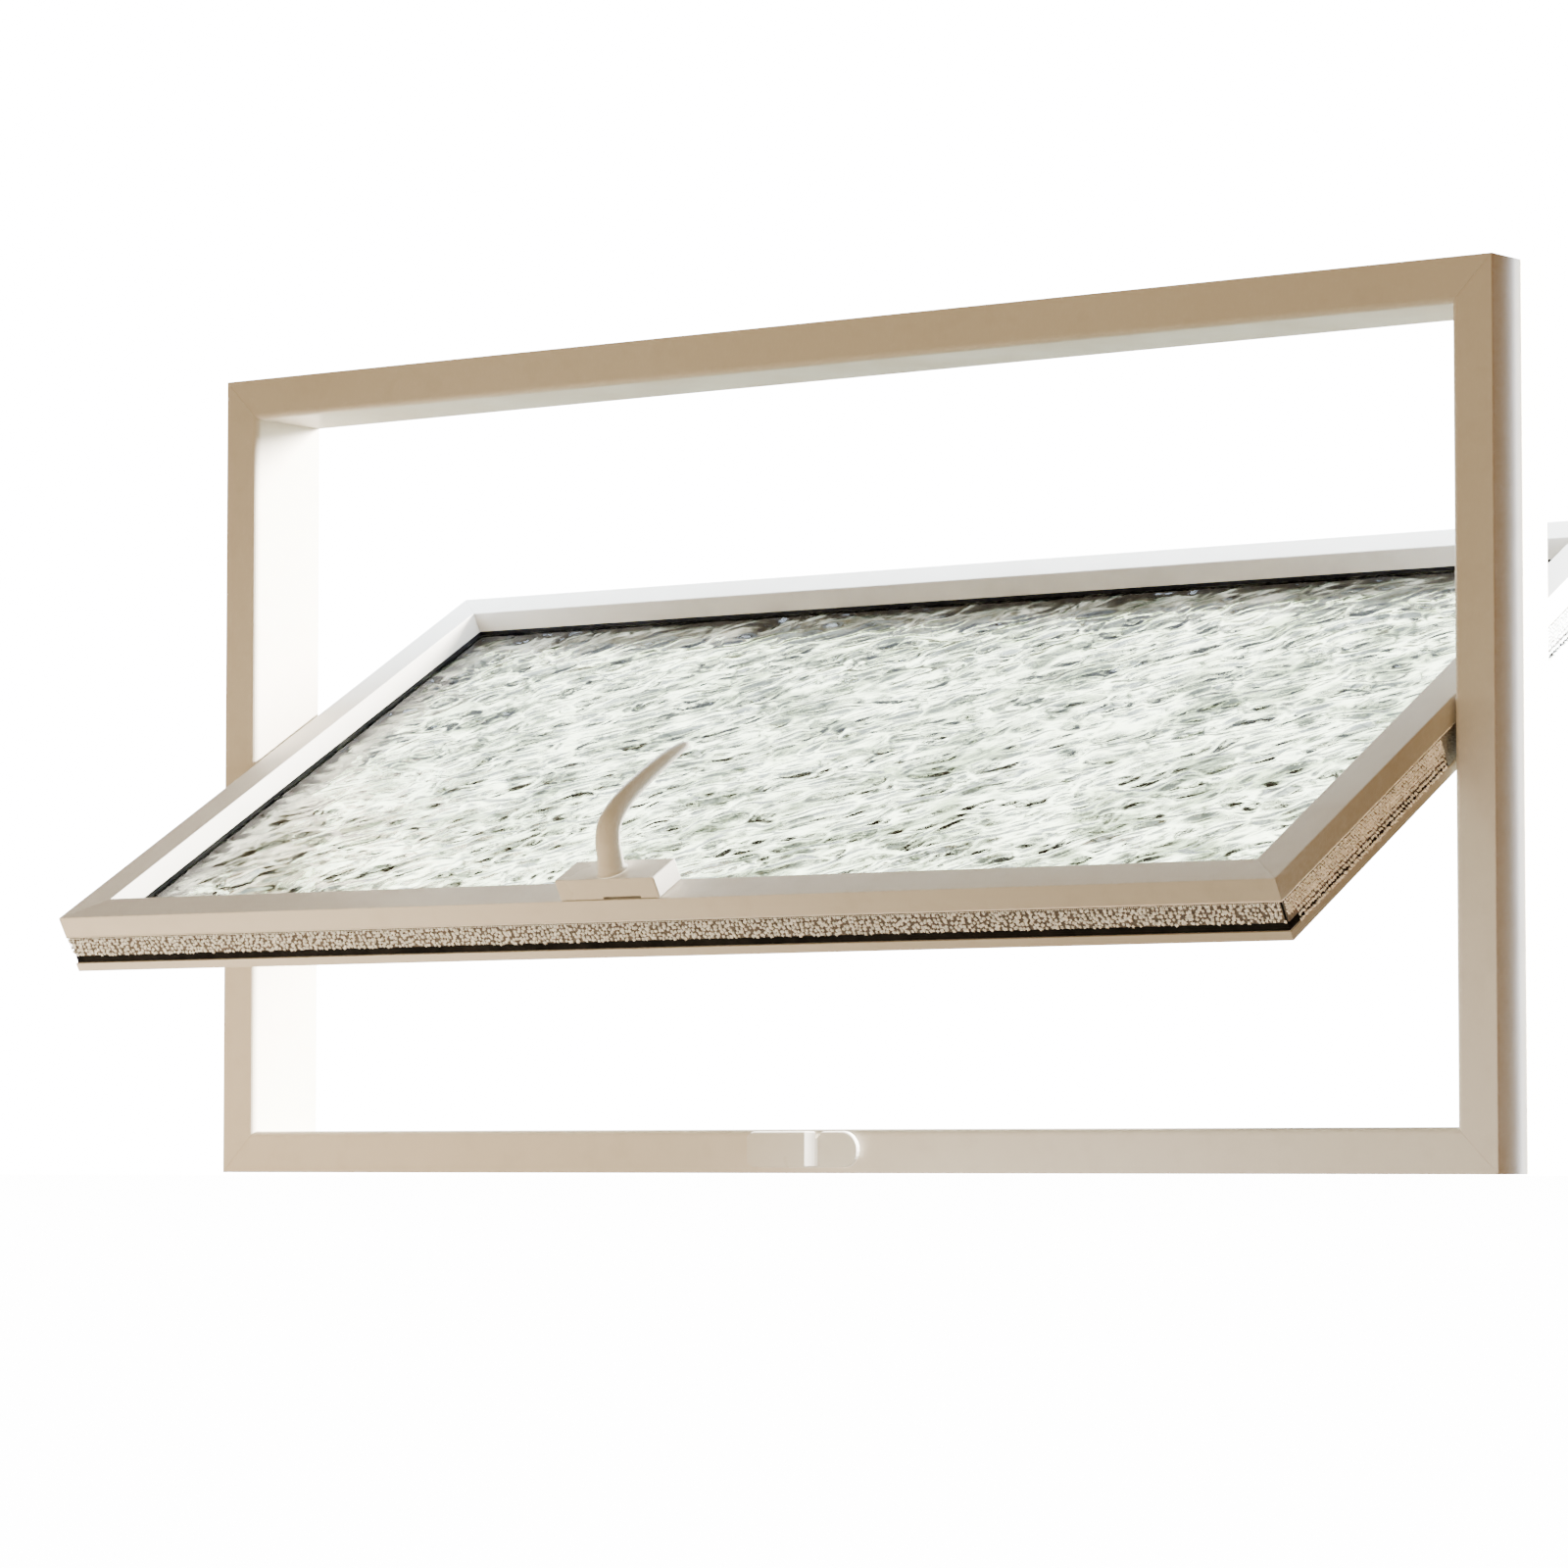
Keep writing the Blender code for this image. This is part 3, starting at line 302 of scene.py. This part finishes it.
def painted(name, colour, shade, roughness=(0.34, 0.50)):
    """Powder coat: slow tone drift, orange peel and a few dusty patches."""
    surface = Surface(name, colour, roughness[0])
    drift = surface.noise(3.0, 4.0)
    tone = surface.ramp(drift, [(0.30, shade), (0.62, colour)])
    dust = surface.ramp(surface.noise(55.0, 6.0), [(0.52, 0.0), (0.78, 0.35)])
    surface.colour(surface.blend(dust, tone, tuple(0.86 * part for part in shade)))
    surface.roughness(surface.ramp(surface.noise(24.0, 5.0), [(0.35, roughness[0]), (0.70, roughness[1])]))
    surface.bump(surface.noise(520.0, 2.0), 0.00006)
    surface.bump(surface.noise(60.0, 2.0), 0.00008)
    return surface.material


def metal(name, colour, dark, roughness, brush):
    """Bare metal with drawn or brushed streaks."""
    surface = Surface(name, colour, roughness, 1.0)
    streaks = surface.noise(260.0, 4.0, brush)
    surface.colour(surface.ramp(streaks, [(0.35, dark), (0.65, colour)]))
    surface.roughness(surface.ramp(surface.noise(90.0, 5.0), [(0.35, roughness), (0.70, roughness + 0.22)]))
    surface.bump(streaks, 0.00003)
    return surface.material


def rubber():
    surface = Surface("black_rubber", (0.006, 0.006, 0.006), 0.62)
    surface.shader.inputs["Specular IOR Level"].default_value = 0.15
    dark, pale = (0.003, 0.003, 0.003), (0.012, 0.011, 0.010)
    surface.colour(surface.ramp(surface.noise(40.0, 5.0), [(0.4, dark), (0.75, pale)]))
    surface.roughness(surface.ramp(surface.noise(120.0, 3.0), [(0.35, 0.50), (0.7, 0.78)]))
    surface.bump(surface.noise(900.0, 2.0), 0.00004)
    return surface.material


def grey_seal():
    surface = Surface("grey_seal", (0.45, 0.45, 0.40), 0.60)
    dark, pale = (0.36, 0.36, 0.31), (0.50, 0.50, 0.45)
    surface.colour(surface.ramp(surface.noise(60.0, 4.0), [(0.35, dark), (0.70, pale)]))
    surface.roughness(surface.ramp(surface.noise(140.0, 3.0), [(0.35, 0.50), (0.7, 0.72)]))
    surface.bump(surface.noise(800.0, 2.0), 0.00004)
    return surface.material


def nylon():
    surface = Surface("white_nylon", (0.78, 0.78, 0.75), 0.42)
    dark, pale = (0.70, 0.69, 0.64), (0.80, 0.80, 0.77)
    surface.colour(surface.ramp(surface.noise(70.0, 3.0), [(0.35, dark), (0.65, pale)]))
    surface.roughness(surface.ramp(surface.noise(200.0, 3.0), [(0.35, 0.36), (0.7, 0.55)]))
    surface.bump(surface.noise(700.0, 2.0), 0.00003)
    return surface.material


def figured_glass():
    """Rolled glass, its tint painted with wavering dark strokes, thick and thin, as painted shade where the
    relief bends the light away.
    """
    surface = Surface("obscured_glass", (0.95, 0.985, 0.95), 0.05)
    surface.shader.inputs["Transmission Weight"].default_value = 1.0
    surface.shader.inputs["IOR"].default_value = 1.52
    lie = surface.node("ShaderNodeMapping", vector_type="TEXTURE")
    lie.inputs["Rotation"].default_value = SASH.to_euler()
    surface.link(surface.coordinates, lie.inputs["Vector"])
    lean = surface.node("ShaderNodeMapping", vector_type="TEXTURE")
    lean.inputs["Rotation"].default_value = (0, -RELIEF_SLANT, 0)
    lean.inputs["Scale"].default_value = (STROKE_LENGTH, 1.0, STROKE_WIDTH)
    surface.link(lie.outputs["Vector"], lean.inputs["Vector"])

    def strokes(scale, detail, sway, stops):
        made = surface.node("ShaderNodeTexNoise")
        made.inputs["Scale"].default_value = scale
        made.inputs["Detail"].default_value = detail
        made.inputs["Distortion"].default_value = sway
        surface.link(lean.outputs["Vector"], made.inputs["Vector"])
        return surface.ramp(made.outputs["Fac"], stops)

    # The darker tint laid on in broad patches and the dark grey strokes drawn in lines are painted shade,
    # for where the rolled relief bends the light away.
    clear, shaded_tint, grey = (0.96, 1.0, 0.90), (0.20, 0.225, 0.175), (0.050, 0.060, 0.042)
    broad_shade = strokes(0.8, 1.5, 0.9, [(0.36, 0.0), (0.48, 0.35), (0.60, 1.0)])
    lines = strokes(1.0, 2.0, 1.6, [(0.435, 0.0), (0.480, 1.0), (0.500, 1.0), (0.540, 0.0)])
    broken = strokes(1.7, 1.0, 0.5, [(0.40, 0.0), (0.58, 1.0)])
    drawn = surface.node("ShaderNodeMath", operation="MULTIPLY")
    surface.link(lines, drawn.inputs[0])
    surface.link(broken, drawn.inputs[1])
    body = surface.blend(broad_shade, shaded_tint, clear)
    surface.colour(surface.blend(drawn.outputs[0], body, grey))
    surface.roughness(surface.ramp(surface.noise(160.0, 4.0), [(0.40, 0.03), (0.72, 0.16)]))
    surface.bump(surface.noise(420.0, 3.0), 0.00010)
    return surface.material


def wool(name, light, dark):
    """Matt fibres, mottled from dark to light."""
    surface = Surface(name, light, 0.92)
    surface.colour(surface.ramp(surface.noise(900.0, 3.0), [(0.34, dark), (0.60, light)]))
    surface.shader.inputs["Sheen Weight"].default_value = 0.5
    surface.roughness(surface.ramp(surface.noise(300.0, 2.0), [(0.35, 0.82), (0.7, 0.98)]))
    surface.bump(surface.noise(2600.0, 2.0), 0.00010)
    return surface.material


LOOKS = {
    "frame_paint": painted("frame_paint", (0.80, 0.73, 0.63), (0.76, 0.68, 0.57)),
    "sash_paint": painted("sash_paint", (0.82, 0.78, 0.71), (0.78, 0.73, 0.65)),
    "hardware_paint": painted("hardware_paint", (0.82, 0.78, 0.70), (0.77, 0.72, 0.63), (0.26, 0.42)),
    "obscured_glass": figured_glass(),
    "black_rubber": rubber(),
    "grey_seal": grey_seal(),
    "wool_pile": wool("wool_pile", (0.96, 0.96, 0.91), (0.64, 0.63, 0.56)),
    "zinc_steel": metal("zinc_steel", (0.60, 0.60, 0.57), (0.42, 0.42, 0.40), 0.30, (1, 1, 6)),
    "cleat_aluminium": metal("cleat_aluminium", (0.66, 0.67, 0.68), (0.50, 0.51, 0.52), 0.32, (1, 8, 1)),
    "white_nylon": nylon(),
}
# The tape's near-black colour is painted shade: it darkens the gaps between the tufts.
SHADED_BACKING = wool("pile_backing", (0.12, 0.10, 0.08), (0.04, 0.035, 0.03))

for node in NODES.values():
    for spot, old in enumerate(node.data.materials):
        node.data.materials[spot] = LOOKS[old.name.split(".")[0]]


# Shape tools ---------------------------------------------------------------------------------------------

def add_piece(name, mesh, body, stands_for, looks, smooth=True):
    """Shows a mesh as a piece that rides on a body in place of CAD nodes."""
    if smooth:
        mesh.shade_smooth()
    for look in looks:
        mesh.materials.append(look)
    piece = bpy.data.objects.new(name, mesh)
    bpy.context.scene.collection.objects.link(piece)
    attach(piece, body)
    if stands_for:
        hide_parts(*stands_for)


def mesh_of(name, points, faces):
    mesh = bpy.data.meshes.new(name)
    mesh.from_pydata([tuple(p) for p in points], [], faces)
    mesh.update()
    return mesh


# Relief glass --------------------------------------------------------------------------------------------

def relief(x, z):
    """How deep the figured face lies at a point, from 0 to 1: wavering ripples that lean to one side."""
    u = x * math.cos(RELIEF_SLANT) + z * math.sin(RELIEF_SLANT)
    v = z * math.cos(RELIEF_SLANT) - x * math.sin(RELIEF_SLANT)
    sway = SWAY * noise.noise(Vector((u * SWAYS_PER_METRE[0], v * SWAYS_PER_METRE[1], 3.7)))
    long, across = u / RELIEF_LENGTH, v / RELIEF_WIDTH
    swell = noise.noise(Vector((long + sway, across + 1.3 * sway, 0.0)))
    ripple = noise.noise(Vector((long * 1.6 - sway, across * 2.2 + sway, 7.1)))
    crease = 1 - 2 * abs(noise.noise(Vector((long * 1.1 + 2 * sway, across * 1.5 - sway, 21.4))))
    depth = RELIEF_MEAN + SWELL_SHARE * swell + RIPPLE_SHARE * ripple + CREASE_SHARE * crease**3
    return min(max(depth, 0.0), 1.0)


def calm(distance):
    """Fades the relief out towards the pane's edge, where the gaskets grip it."""
    share = min(max((distance - CALM_START) / (CALM_END - CALM_START), 0.0), 1.0)
    return share * share * (3 - 2 * share)


def make_glass():
    """The pane, figured on one face and flat on the other."""
    low, high = box_in(SASH, "glass_pane")
    across = round((high.x - low.x) / RELIEF_STEP)
    up = round((high.z - low.z) / RELIEF_STEP)
    points = []
    for j in range(up + 1):
        z = low.z + (high.z - low.z) * j / up
        for i in range(across + 1):
            x = low.x + (high.x - low.x) * i / across
            edge = min(x - low.x, high.x - x, z - low.z, high.z - z)
            points.append(SASH @ Vector((x, low.y + RELIEF_DEPTH * relief(x, z) * calm(edge), z)))
    back = len(points)
    for x, z in ((low.x, low.z), (high.x, low.z), (high.x, high.z), (low.x, high.z)):
        points.append(SASH @ Vector((x, high.y, z)))
    row = across + 1
    faces = [(k, k + 1, k + 1 + row, k + row) for j in range(up) for k in range(j * row, j * row + across)]
    bottom, top = range(row), range(up * row, up * row + row)
    left, right = range(0, (up + 1) * row, row), range(across, (up + 1) * row, row)
    faces.append(tuple(reversed([*bottom, back + 1, back])))
    faces.append((back, *left, back + 3))
    faces.append(tuple(reversed([back + 1, *right, back + 2])))
    faces.append((*top, back + 2, back + 3))
    faces.append((back + 3, back + 2, back + 1, back))
    mesh = mesh_of("glass_relief", points, faces)
    mesh.shade_smooth()
    mesh.set_sharp_from_angle(angle=SHARP_ANGLE)
    looks = [LOOKS["obscured_glass"]]
    add_piece("glass_relief", mesh, "sash", ["glass_pane"], looks, False)


# Pile ----------------------------------------------------------------------------------------------------

def add_tuft(points, faces, centre, size, turn):
    """A small eight-sided bead of fibres."""
    first = len(points)
    for axis in range(3):
        for way in (-1, 1):
            spot = Vector((0, 0, 0))
            spot[axis] = way * size[axis]
            points.append(SASH @ (centre + turn @ spot))
    for a in (0, 1):
        for b in (2, 3):
            for c in (4, 5):
                face = (first + a, first + b, first + c)
                faces.append(face if (a + b + c) % 2 else face[::-1])


class PileStrip:
    """Where one strip of pile runs: along an edge of the sash, with mitred ends at the sash's corners."""

    def __init__(self, node):
        low, high = box_in(SASH, node)
        self.on_rail = high.x - low.x > high.z - low.z
        self.along = 0 if self.on_rail else 2
        self.out = 2 - self.along
        self.sign = 1 if low[self.out] + high[self.out] > SASH_MIDDLE[self.out] * 2 else -1
        self.face = high[self.out] if self.sign > 0 else low[self.out]
        self.back = low[self.out] if self.sign > 0 else high[self.out]
        self.depths = (low.y, high.y)
        self.lean = 1 if self.on_rail else self.sign
        self.edge = SASH_HIGH[self.out] if self.sign > 0 else SASH_LOW[self.out]
        self.ends = [self.end(low[self.along], SASH_LOW), self.end(high[self.along], SASH_HIGH)]

    def end(self, place, corner):
        """(place, whether it is mitred): the strip runs on to the sash's corner if it stops near it."""
        mitred = abs(place - corner[self.along]) < PILE_REACH
        return (corner[self.along] if mitred else place), mitred

    def span(self, inset):
        """Start and end of the strip this far in from the sash's edge."""
        (start, cut_start), (stop, cut_stop) = self.ends
        return (
            start + (inset + PILE_MITRE if cut_start else 0.0),
            stop - (inset + PILE_MITRE if cut_stop else 0.0),
        )

    def spot(self, along, depth, inset):
        made = Vector((0, depth, 0))
        made[self.along] = along
        made[self.out] = self.edge - self.sign * inset
        return made


def add_backing(points, faces, strip):
    """The woven tape that carries the tufts; make_pile colours it near-black as painted shade in the gaps
    between them.
    """
    outer = BACKING_DEPTH - abs(strip.edge - strip.face)
    inner = abs(strip.back - strip.edge)
    first = len(points)
    for depth in strip.depths:
        for inset in (outer, inner):
            for place in strip.span(inset):
                points.append(SASH @ strip.spot(place, depth, inset))
    sides = [(0, 1, 3, 2), (4, 6, 7, 5), (0, 4, 5, 1), (2, 3, 7, 6), (0, 2, 6, 4), (1, 5, 7, 3)]
    if strip.on_rail == (strip.sign < 0):
        sides = [side[::-1] for side in sides]
    faces += [tuple(first + k for k in side) for side in sides]


def add_row(points, faces, strip, draw, depth, row, clear=None):
    """A row of tufts along the strip at one depth, which may stay clear of the sash's corners."""
    pitch, size, slant, ragged = row
    start, stop = strip.span(0.0)
    if clear:
        start = max(start, SASH_LOW[strip.along] + clear)
        stop = min(stop, SASH_HIGH[strip.along] - clear)
    proud = abs(strip.face - strip.edge)
    axis = "XYZ"[strip.out]
    for i in range(int((stop - start) / pitch)):
        grown = draw.uniform(*TUFT_GROWTH)
        inset = -proud + size[2] * (1.05 + ragged * draw.uniform(0.0, 0.6))
        place = start + (i + 0.5 + ragged * draw.uniform(-0.4, 0.4)) * pitch
        centre = strip.spot(place, depth + ragged * draw.uniform(-0.45, 0.45) * size[1], inset)
        half = Vector((0, size[1] * grown, 0))
        half[strip.along] = size[0] * grown
        half[strip.out] = size[2] * grown
        turn = Matrix.Rotation(strip.lean * slant + ragged * draw.uniform(-0.5, 0.5), 3, axis)
        add_tuft(points, faces, centre, half, turn)


def spread(first, last, count):
    """Evenly spaced values from first to last."""
    return [first + (last - first) * k / (count - 1) for k in range(count)]


def make_pile(node):
    """Tufts on a tape coloured near-black as painted shade between them: loose beads on the rails, slanted
    stitches and a fringe on the stiles.
    """
    strip = PileStrip(node)
    draw = random.Random(node)
    points, faces = [], []
    add_backing(points, faces, strip)
    low, high = strip.depths
    if strip.on_rail:
        add_row(points, faces, strip, draw, low + SEAM_DEPTH, RAIL_SEAM)
        for depth in spread(low + TUFT_DEPTHS[0], high - TUFT_DEPTHS[1], TUFT_ROWS):
            add_row(points, faces, strip, draw, depth, RAIL_TUFTS)
    else:
        seam = low + STITCH_BAND
        for depth in spread(low + STITCH_DEPTHS[0], seam - STITCH_DEPTHS[1], STITCH_ROWS):
            add_row(points, faces, strip, draw, depth, STILE_STITCHES)
        for depth in spread(seam + FRINGE_DEPTHS[0], SEAL_HIGH - FRINGE_DEPTHS[1], FRINGE_ROWS):
            add_row(points, faces, strip, draw, depth, STILE_FRINGE, FRINGE_CLEAR)
    mesh = mesh_of(node + "_tufts", points, faces)
    add_piece(node + "_tufts", mesh, "sash", [node], [LOOKS["wool_pile"], SHADED_BACKING])
    # The tape takes the near-black painted-shade material.
    for polygon in mesh.polygons[:6]:  # the tape's sides
        polygon.material_index = 1
        polygon.use_smooth = False


def make_lip_beads():
    """The fine raised bead along the edge of each bar, beside the pile."""
    depth = SASH_LOW.y + LIP_DEPTH
    lefts_and_rights = (SASH_LOW.x, 1), (SASH_HIGH.x, -1)
    lows_and_highs = (SASH_LOW.z, 1), (SASH_HIGH.z, -1)
    points, faces = [], []
    for corner in range(4):
        x, inward_x = lefts_and_rights[corner in (1, 2)]
        z, inward_z = lows_and_highs[corner in (2, 3)]
        for k in range(LIP_SIDES):
            a = 2 * math.pi * k / LIP_SIDES
            inset = LIP_INSET + LIP_RADIUS * math.cos(a)
            spot = Vector((x + inward_x * inset, depth + LIP_RADIUS * math.sin(a), z + inward_z * inset))
            points.append(SASH @ spot)
        here, there = corner * LIP_SIDES, (corner + 1) % 4 * LIP_SIDES
        for k in range(LIP_SIDES):
            j = (k + 1) % LIP_SIDES
            faces.append((here + k, there + k, there + j, here + j))
    mesh = mesh_of("sash_lip_bead", points, faces)
    add_piece("sash_lip_bead", mesh, "sash", [], [LOOKS["sash_paint"]])


# Lever ---------------------------------------------------------------------------------------------------

def smooth_row(rows, t):
    """A point of the Catmull-Rom curve through rows, where t counts rows from the first."""
    last = len(rows) - 1
    i = min(int(t), last - 1)
    f = t - i
    p0, p1, p2, p3 = (Vector(rows[max(0, min(last, i + k))]) for k in (-1, 0, 1, 2))
    second = 2 * p0 - 5 * p1 + 4 * p2 - p3
    third = 3 * p1 - p0 - 3 * p2 + p3
    return 0.5 * (2 * p1 + (p2 - p0) * f + second * f**2 + third * f**3)


def make_lever():
    """The lever as one smooth loft, with a small fillet where it meets its base."""
    circle = [2 * math.pi * k / LEVER_SIDES for k in range(LEVER_SIDES)]
    sections = [[(r * math.cos(a), r * math.sin(a), height) for a in circle] for r, height in LEVER_FOOT]
    count = (len(LEVER_PATH) - 1) * LEVER_STEPS
    for step in range(count + 1):
        t = step / LEVER_STEPS
        out, height, width, thick = smooth_row(LEVER_PATH, t)
        ahead = smooth_row(LEVER_PATH, min(t + LEVER_NUDGE, len(LEVER_PATH) - 1.0))
        behind = smooth_row(LEVER_PATH, max(t - LEVER_NUDGE, 0.0))
        along = Vector((ahead[0] - behind[0], ahead[1] - behind[1])).normalized() if step else Vector((0, 1))
        section = []
        for a in circle:
            side = 0.5 * thick * math.sin(a)
            section.append((0.5 * width * math.cos(a), out + side * along.y, height - side * along.x))
        sections.append(section)
    points = [HANDLE @ Vector(spot) for section in sections for spot in section]
    faces = [tuple(range(LEVER_SIDES))[::-1]]
    for ring in range(len(sections) - 1):
        base = ring * LEVER_SIDES
        for k in range(LEVER_SIDES):
            j = (k + 1) % LEVER_SIDES
            faces.append((base + k, base + j, base + LEVER_SIDES + j, base + LEVER_SIDES + k))
    last = (len(sections) - 1) * LEVER_SIDES
    faces.append(tuple(last + k for k in range(LEVER_SIDES)))
    mesh = mesh_of("lever", points, faces)
    mesh.shade_smooth()
    mesh.set_sharp_from_angle(angle=SHARP_ANGLE)
    add_piece("lever", mesh, "handle", ["handle_lever"], [LOOKS["hardware_paint"]], False)


# Stage ---------------------------------------------------------------------------------------------------

def glowing(name, colour, glow):
    """A surface that shines white."""
    surface = Surface(name, colour, 0.9)
    surface.shader.inputs["Emission Color"].default_value = (1, 1, 1, 1)
    surface.shader.inputs["Emission Strength"].default_value = glow
    return surface.material


def seen_only(piece):
    """The camera sees this piece, but it lights nothing."""
    piece.visible_diffuse = False
    piece.visible_glossy = False
    piece.visible_transmission = False
    piece.visible_shadow = False


def make_stage():
    """A pale floor under the object and a pale dome round it."""
    bpy.ops.mesh.primitive_circle_add(vertices=96, radius=FLOOR_RADIUS, fill_type="NGON")
    floor = bpy.context.object
    floor.location.z = -FLOOR_DROP
    floor.name = "floor"
    floor.data.materials.append(glowing("pale_floor", (0.9, 0.9, 0.9), FLOOR_GLOW))
    seen_only(floor)

    bpy.ops.mesh.primitive_uv_sphere_add(segments=64, ring_count=32, radius=DOME_RADIUS)
    dome = bpy.context.object
    dome.name = "backdrop"
    dome.data.shade_smooth()
    dome.data.materials.append(glowing("pale_backdrop", (0.9, 0.9, 0.9), BACKDROP_GLOW))
    seen_only(dome)


def make_wall():
    """Boards round the frame, unseen by the camera, that keep the outside light off the room side."""
    low, high = CAD_BOX
    left, right, top = low.x - WALL_GAP, high.x + WALL_GAP, high.z + WALL_GAP
    spans = [
        (-WALL_REACH, left, -WALL_REACH, WALL_REACH),
        (right, WALL_REACH, -WALL_REACH, WALL_REACH),
        (left, right, top, WALL_REACH),
        (left, right, -WALL_REACH, -WALL_GAP),
    ]
    inside = Surface("wall_inside", WALL_INSIDE, 0.9)
    outside = Surface("wall_outside", WALL_OUTSIDE, 0.9)
    outside.shader.inputs["Emission Color"].default_value = (*WALL_OUTSIDE, 1)
    outside.shader.inputs["Emission Strength"].default_value = WALL_GLOW
    for side, y, surface in (("inside", -WALL_GAP, inside), ("outside", WALL_GAP, outside)):
        for count, (x0, x1, z0, z1) in enumerate(spans):
            name = f"wall_{side}_{count}"
            corners = [(x0, y, z0), (x1, y, z0), (x1, y, z1), (x0, y, z1)]
            mesh = mesh_of(name, corners, [(0, 1, 2, 3)])
            mesh.materials.append(surface.material)
            board = bpy.data.objects.new(name, mesh)
            bpy.context.scene.collection.objects.link(board)
            board.visible_camera = False
            board.visible_transmission = False


def make_world():
    """Bright outside with a darker ground, and a dim warm room that is darkest on the right."""
    world = bpy.data.worlds.new("studio")
    bpy.context.scene.world = world
    world.use_nodes = True
    tree = world.node_tree
    tree.nodes.clear()
    output = tree.nodes.new("ShaderNodeOutputWorld")
    background = tree.nodes.new("ShaderNodeBackground")
    tree.links.new(background.outputs[0], output.inputs[0])
    place = tree.nodes.new("ShaderNodeTexCoord")
    parts = tree.nodes.new("ShaderNodeSeparateXYZ")
    tree.links.new(place.outputs["Generated"], parts.inputs[0])

    def soft_step(axis, start, end):
        made = tree.nodes.new("ShaderNodeMapRange")
        made.interpolation_type = "SMOOTHSTEP"
        made.inputs["From Min"].default_value = start
        made.inputs["From Max"].default_value = end
        tree.links.new(parts.outputs[axis], made.inputs["Value"])
        return made.outputs["Result"]

    def mixed(factor, first, second):
        made = tree.nodes.new("ShaderNodeMix")
        made.data_type = "RGBA"
        tree.links.new(factor, made.inputs["Factor"])
        for value, socket in ((first, made.inputs[6]), (second, made.inputs[7])):
            if isinstance(value, tuple):
                socket.default_value = (*value, 1)
            else:
                tree.links.new(value, socket)
        return made.outputs[2]

    # What shows through the pane is brighter than what lights the room.
    rays = tree.nodes.new("ShaderNodeLightPath").outputs["Is Transmission Ray"]
    low = mixed(soft_step(*GROUND_FADE), OUTSIDE_GROUND, mixed(rays, OUTSIDE_HORIZON, THROUGH_HORIZON))
    sky = mixed(soft_step(*ZENITH_FADE), mixed(rays, OUTSIDE_SKY, THROUGH_SKY), OUTSIDE_ZENITH)
    outside = mixed(soft_step(*HORIZON_FADE), low, sky)
    room = mixed(soft_step(*ROOM_FADE), ROOM_LOW, ROOM_HIGH)
    room = mixed(soft_step(*RIGHT_FADE), room, ROOM_RIGHT)
    colour = mixed(soft_step(*OUTSIDE_FADE), room, outside)
    tree.links.new(colour, background.inputs["Color"])


def area(name, place, aim, size, power, colour):
    """An area lamp that shows up in nothing: not to the camera, in a reflection or through glass."""
    light = bpy.data.lights.new(name, "AREA")
    light.shape = "RECTANGLE"
    light.size, light.size_y = size
    light.energy = power
    light.color = colour
    lamp = bpy.data.objects.new(name, light)
    lamp.location = place
    lamp.rotation_euler = (Vector(aim) - Vector(place)).to_track_quat("-Z", "Y").to_euler()
    lamp.visible_camera = False
    lamp.visible_transmission = False
    lamp.visible_glossy = False
    bpy.context.scene.collection.objects.link(lamp)
    return lamp


def only_on(lamp, wanted, state="INCLUDE"):
    """Limits a lamp to the objects whose names hold one of these words, or keeps it off them."""
    group = bpy.data.collections.new(lamp.name + "_lit")
    for piece in bpy.data.objects:
        if piece.type == "MESH" and any(word in piece.name for word in wanted):
            group.objects.link(piece)
    for member in group.collection_objects:
        member.light_linking.link_state = state
    lamp.light_linking.receiver_collection = group


def make_lights():
    for name, settings in LAMPS.items():
        lamp = area(name, *settings)
        lamp.data.use_shadow = name not in CASTS_NO_SHADOW
        if name in LIGHTS_ONLY:
            only_on(lamp, LIGHTS_ONLY[name])
        if name in LIGHTS_ALL_BUT:
            only_on(lamp, LIGHTS_ALL_BUT[name], "EXCLUDE")


def make_camera():
    camera = bpy.data.cameras.new("camera")
    camera.lens = CAMERA_LENS
    camera.sensor_width = 36
    camera.clip_end = 60
    eye = bpy.data.objects.new("camera", camera)
    eye.location = CAMERA_PLACE
    eye.rotation_euler = (math.pi / 2 + CAMERA_TILT, 0, CAMERA_TURN)
    bpy.context.scene.collection.objects.link(eye)
    bpy.context.scene.camera = eye


make_glass()
for pile_node in sorted(name for name in NODES if name.startswith("pile_strip")):
    make_pile(pile_node)
make_lip_beads()
make_lever()
make_stage()
make_wall()
make_world()
make_lights()
make_camera()
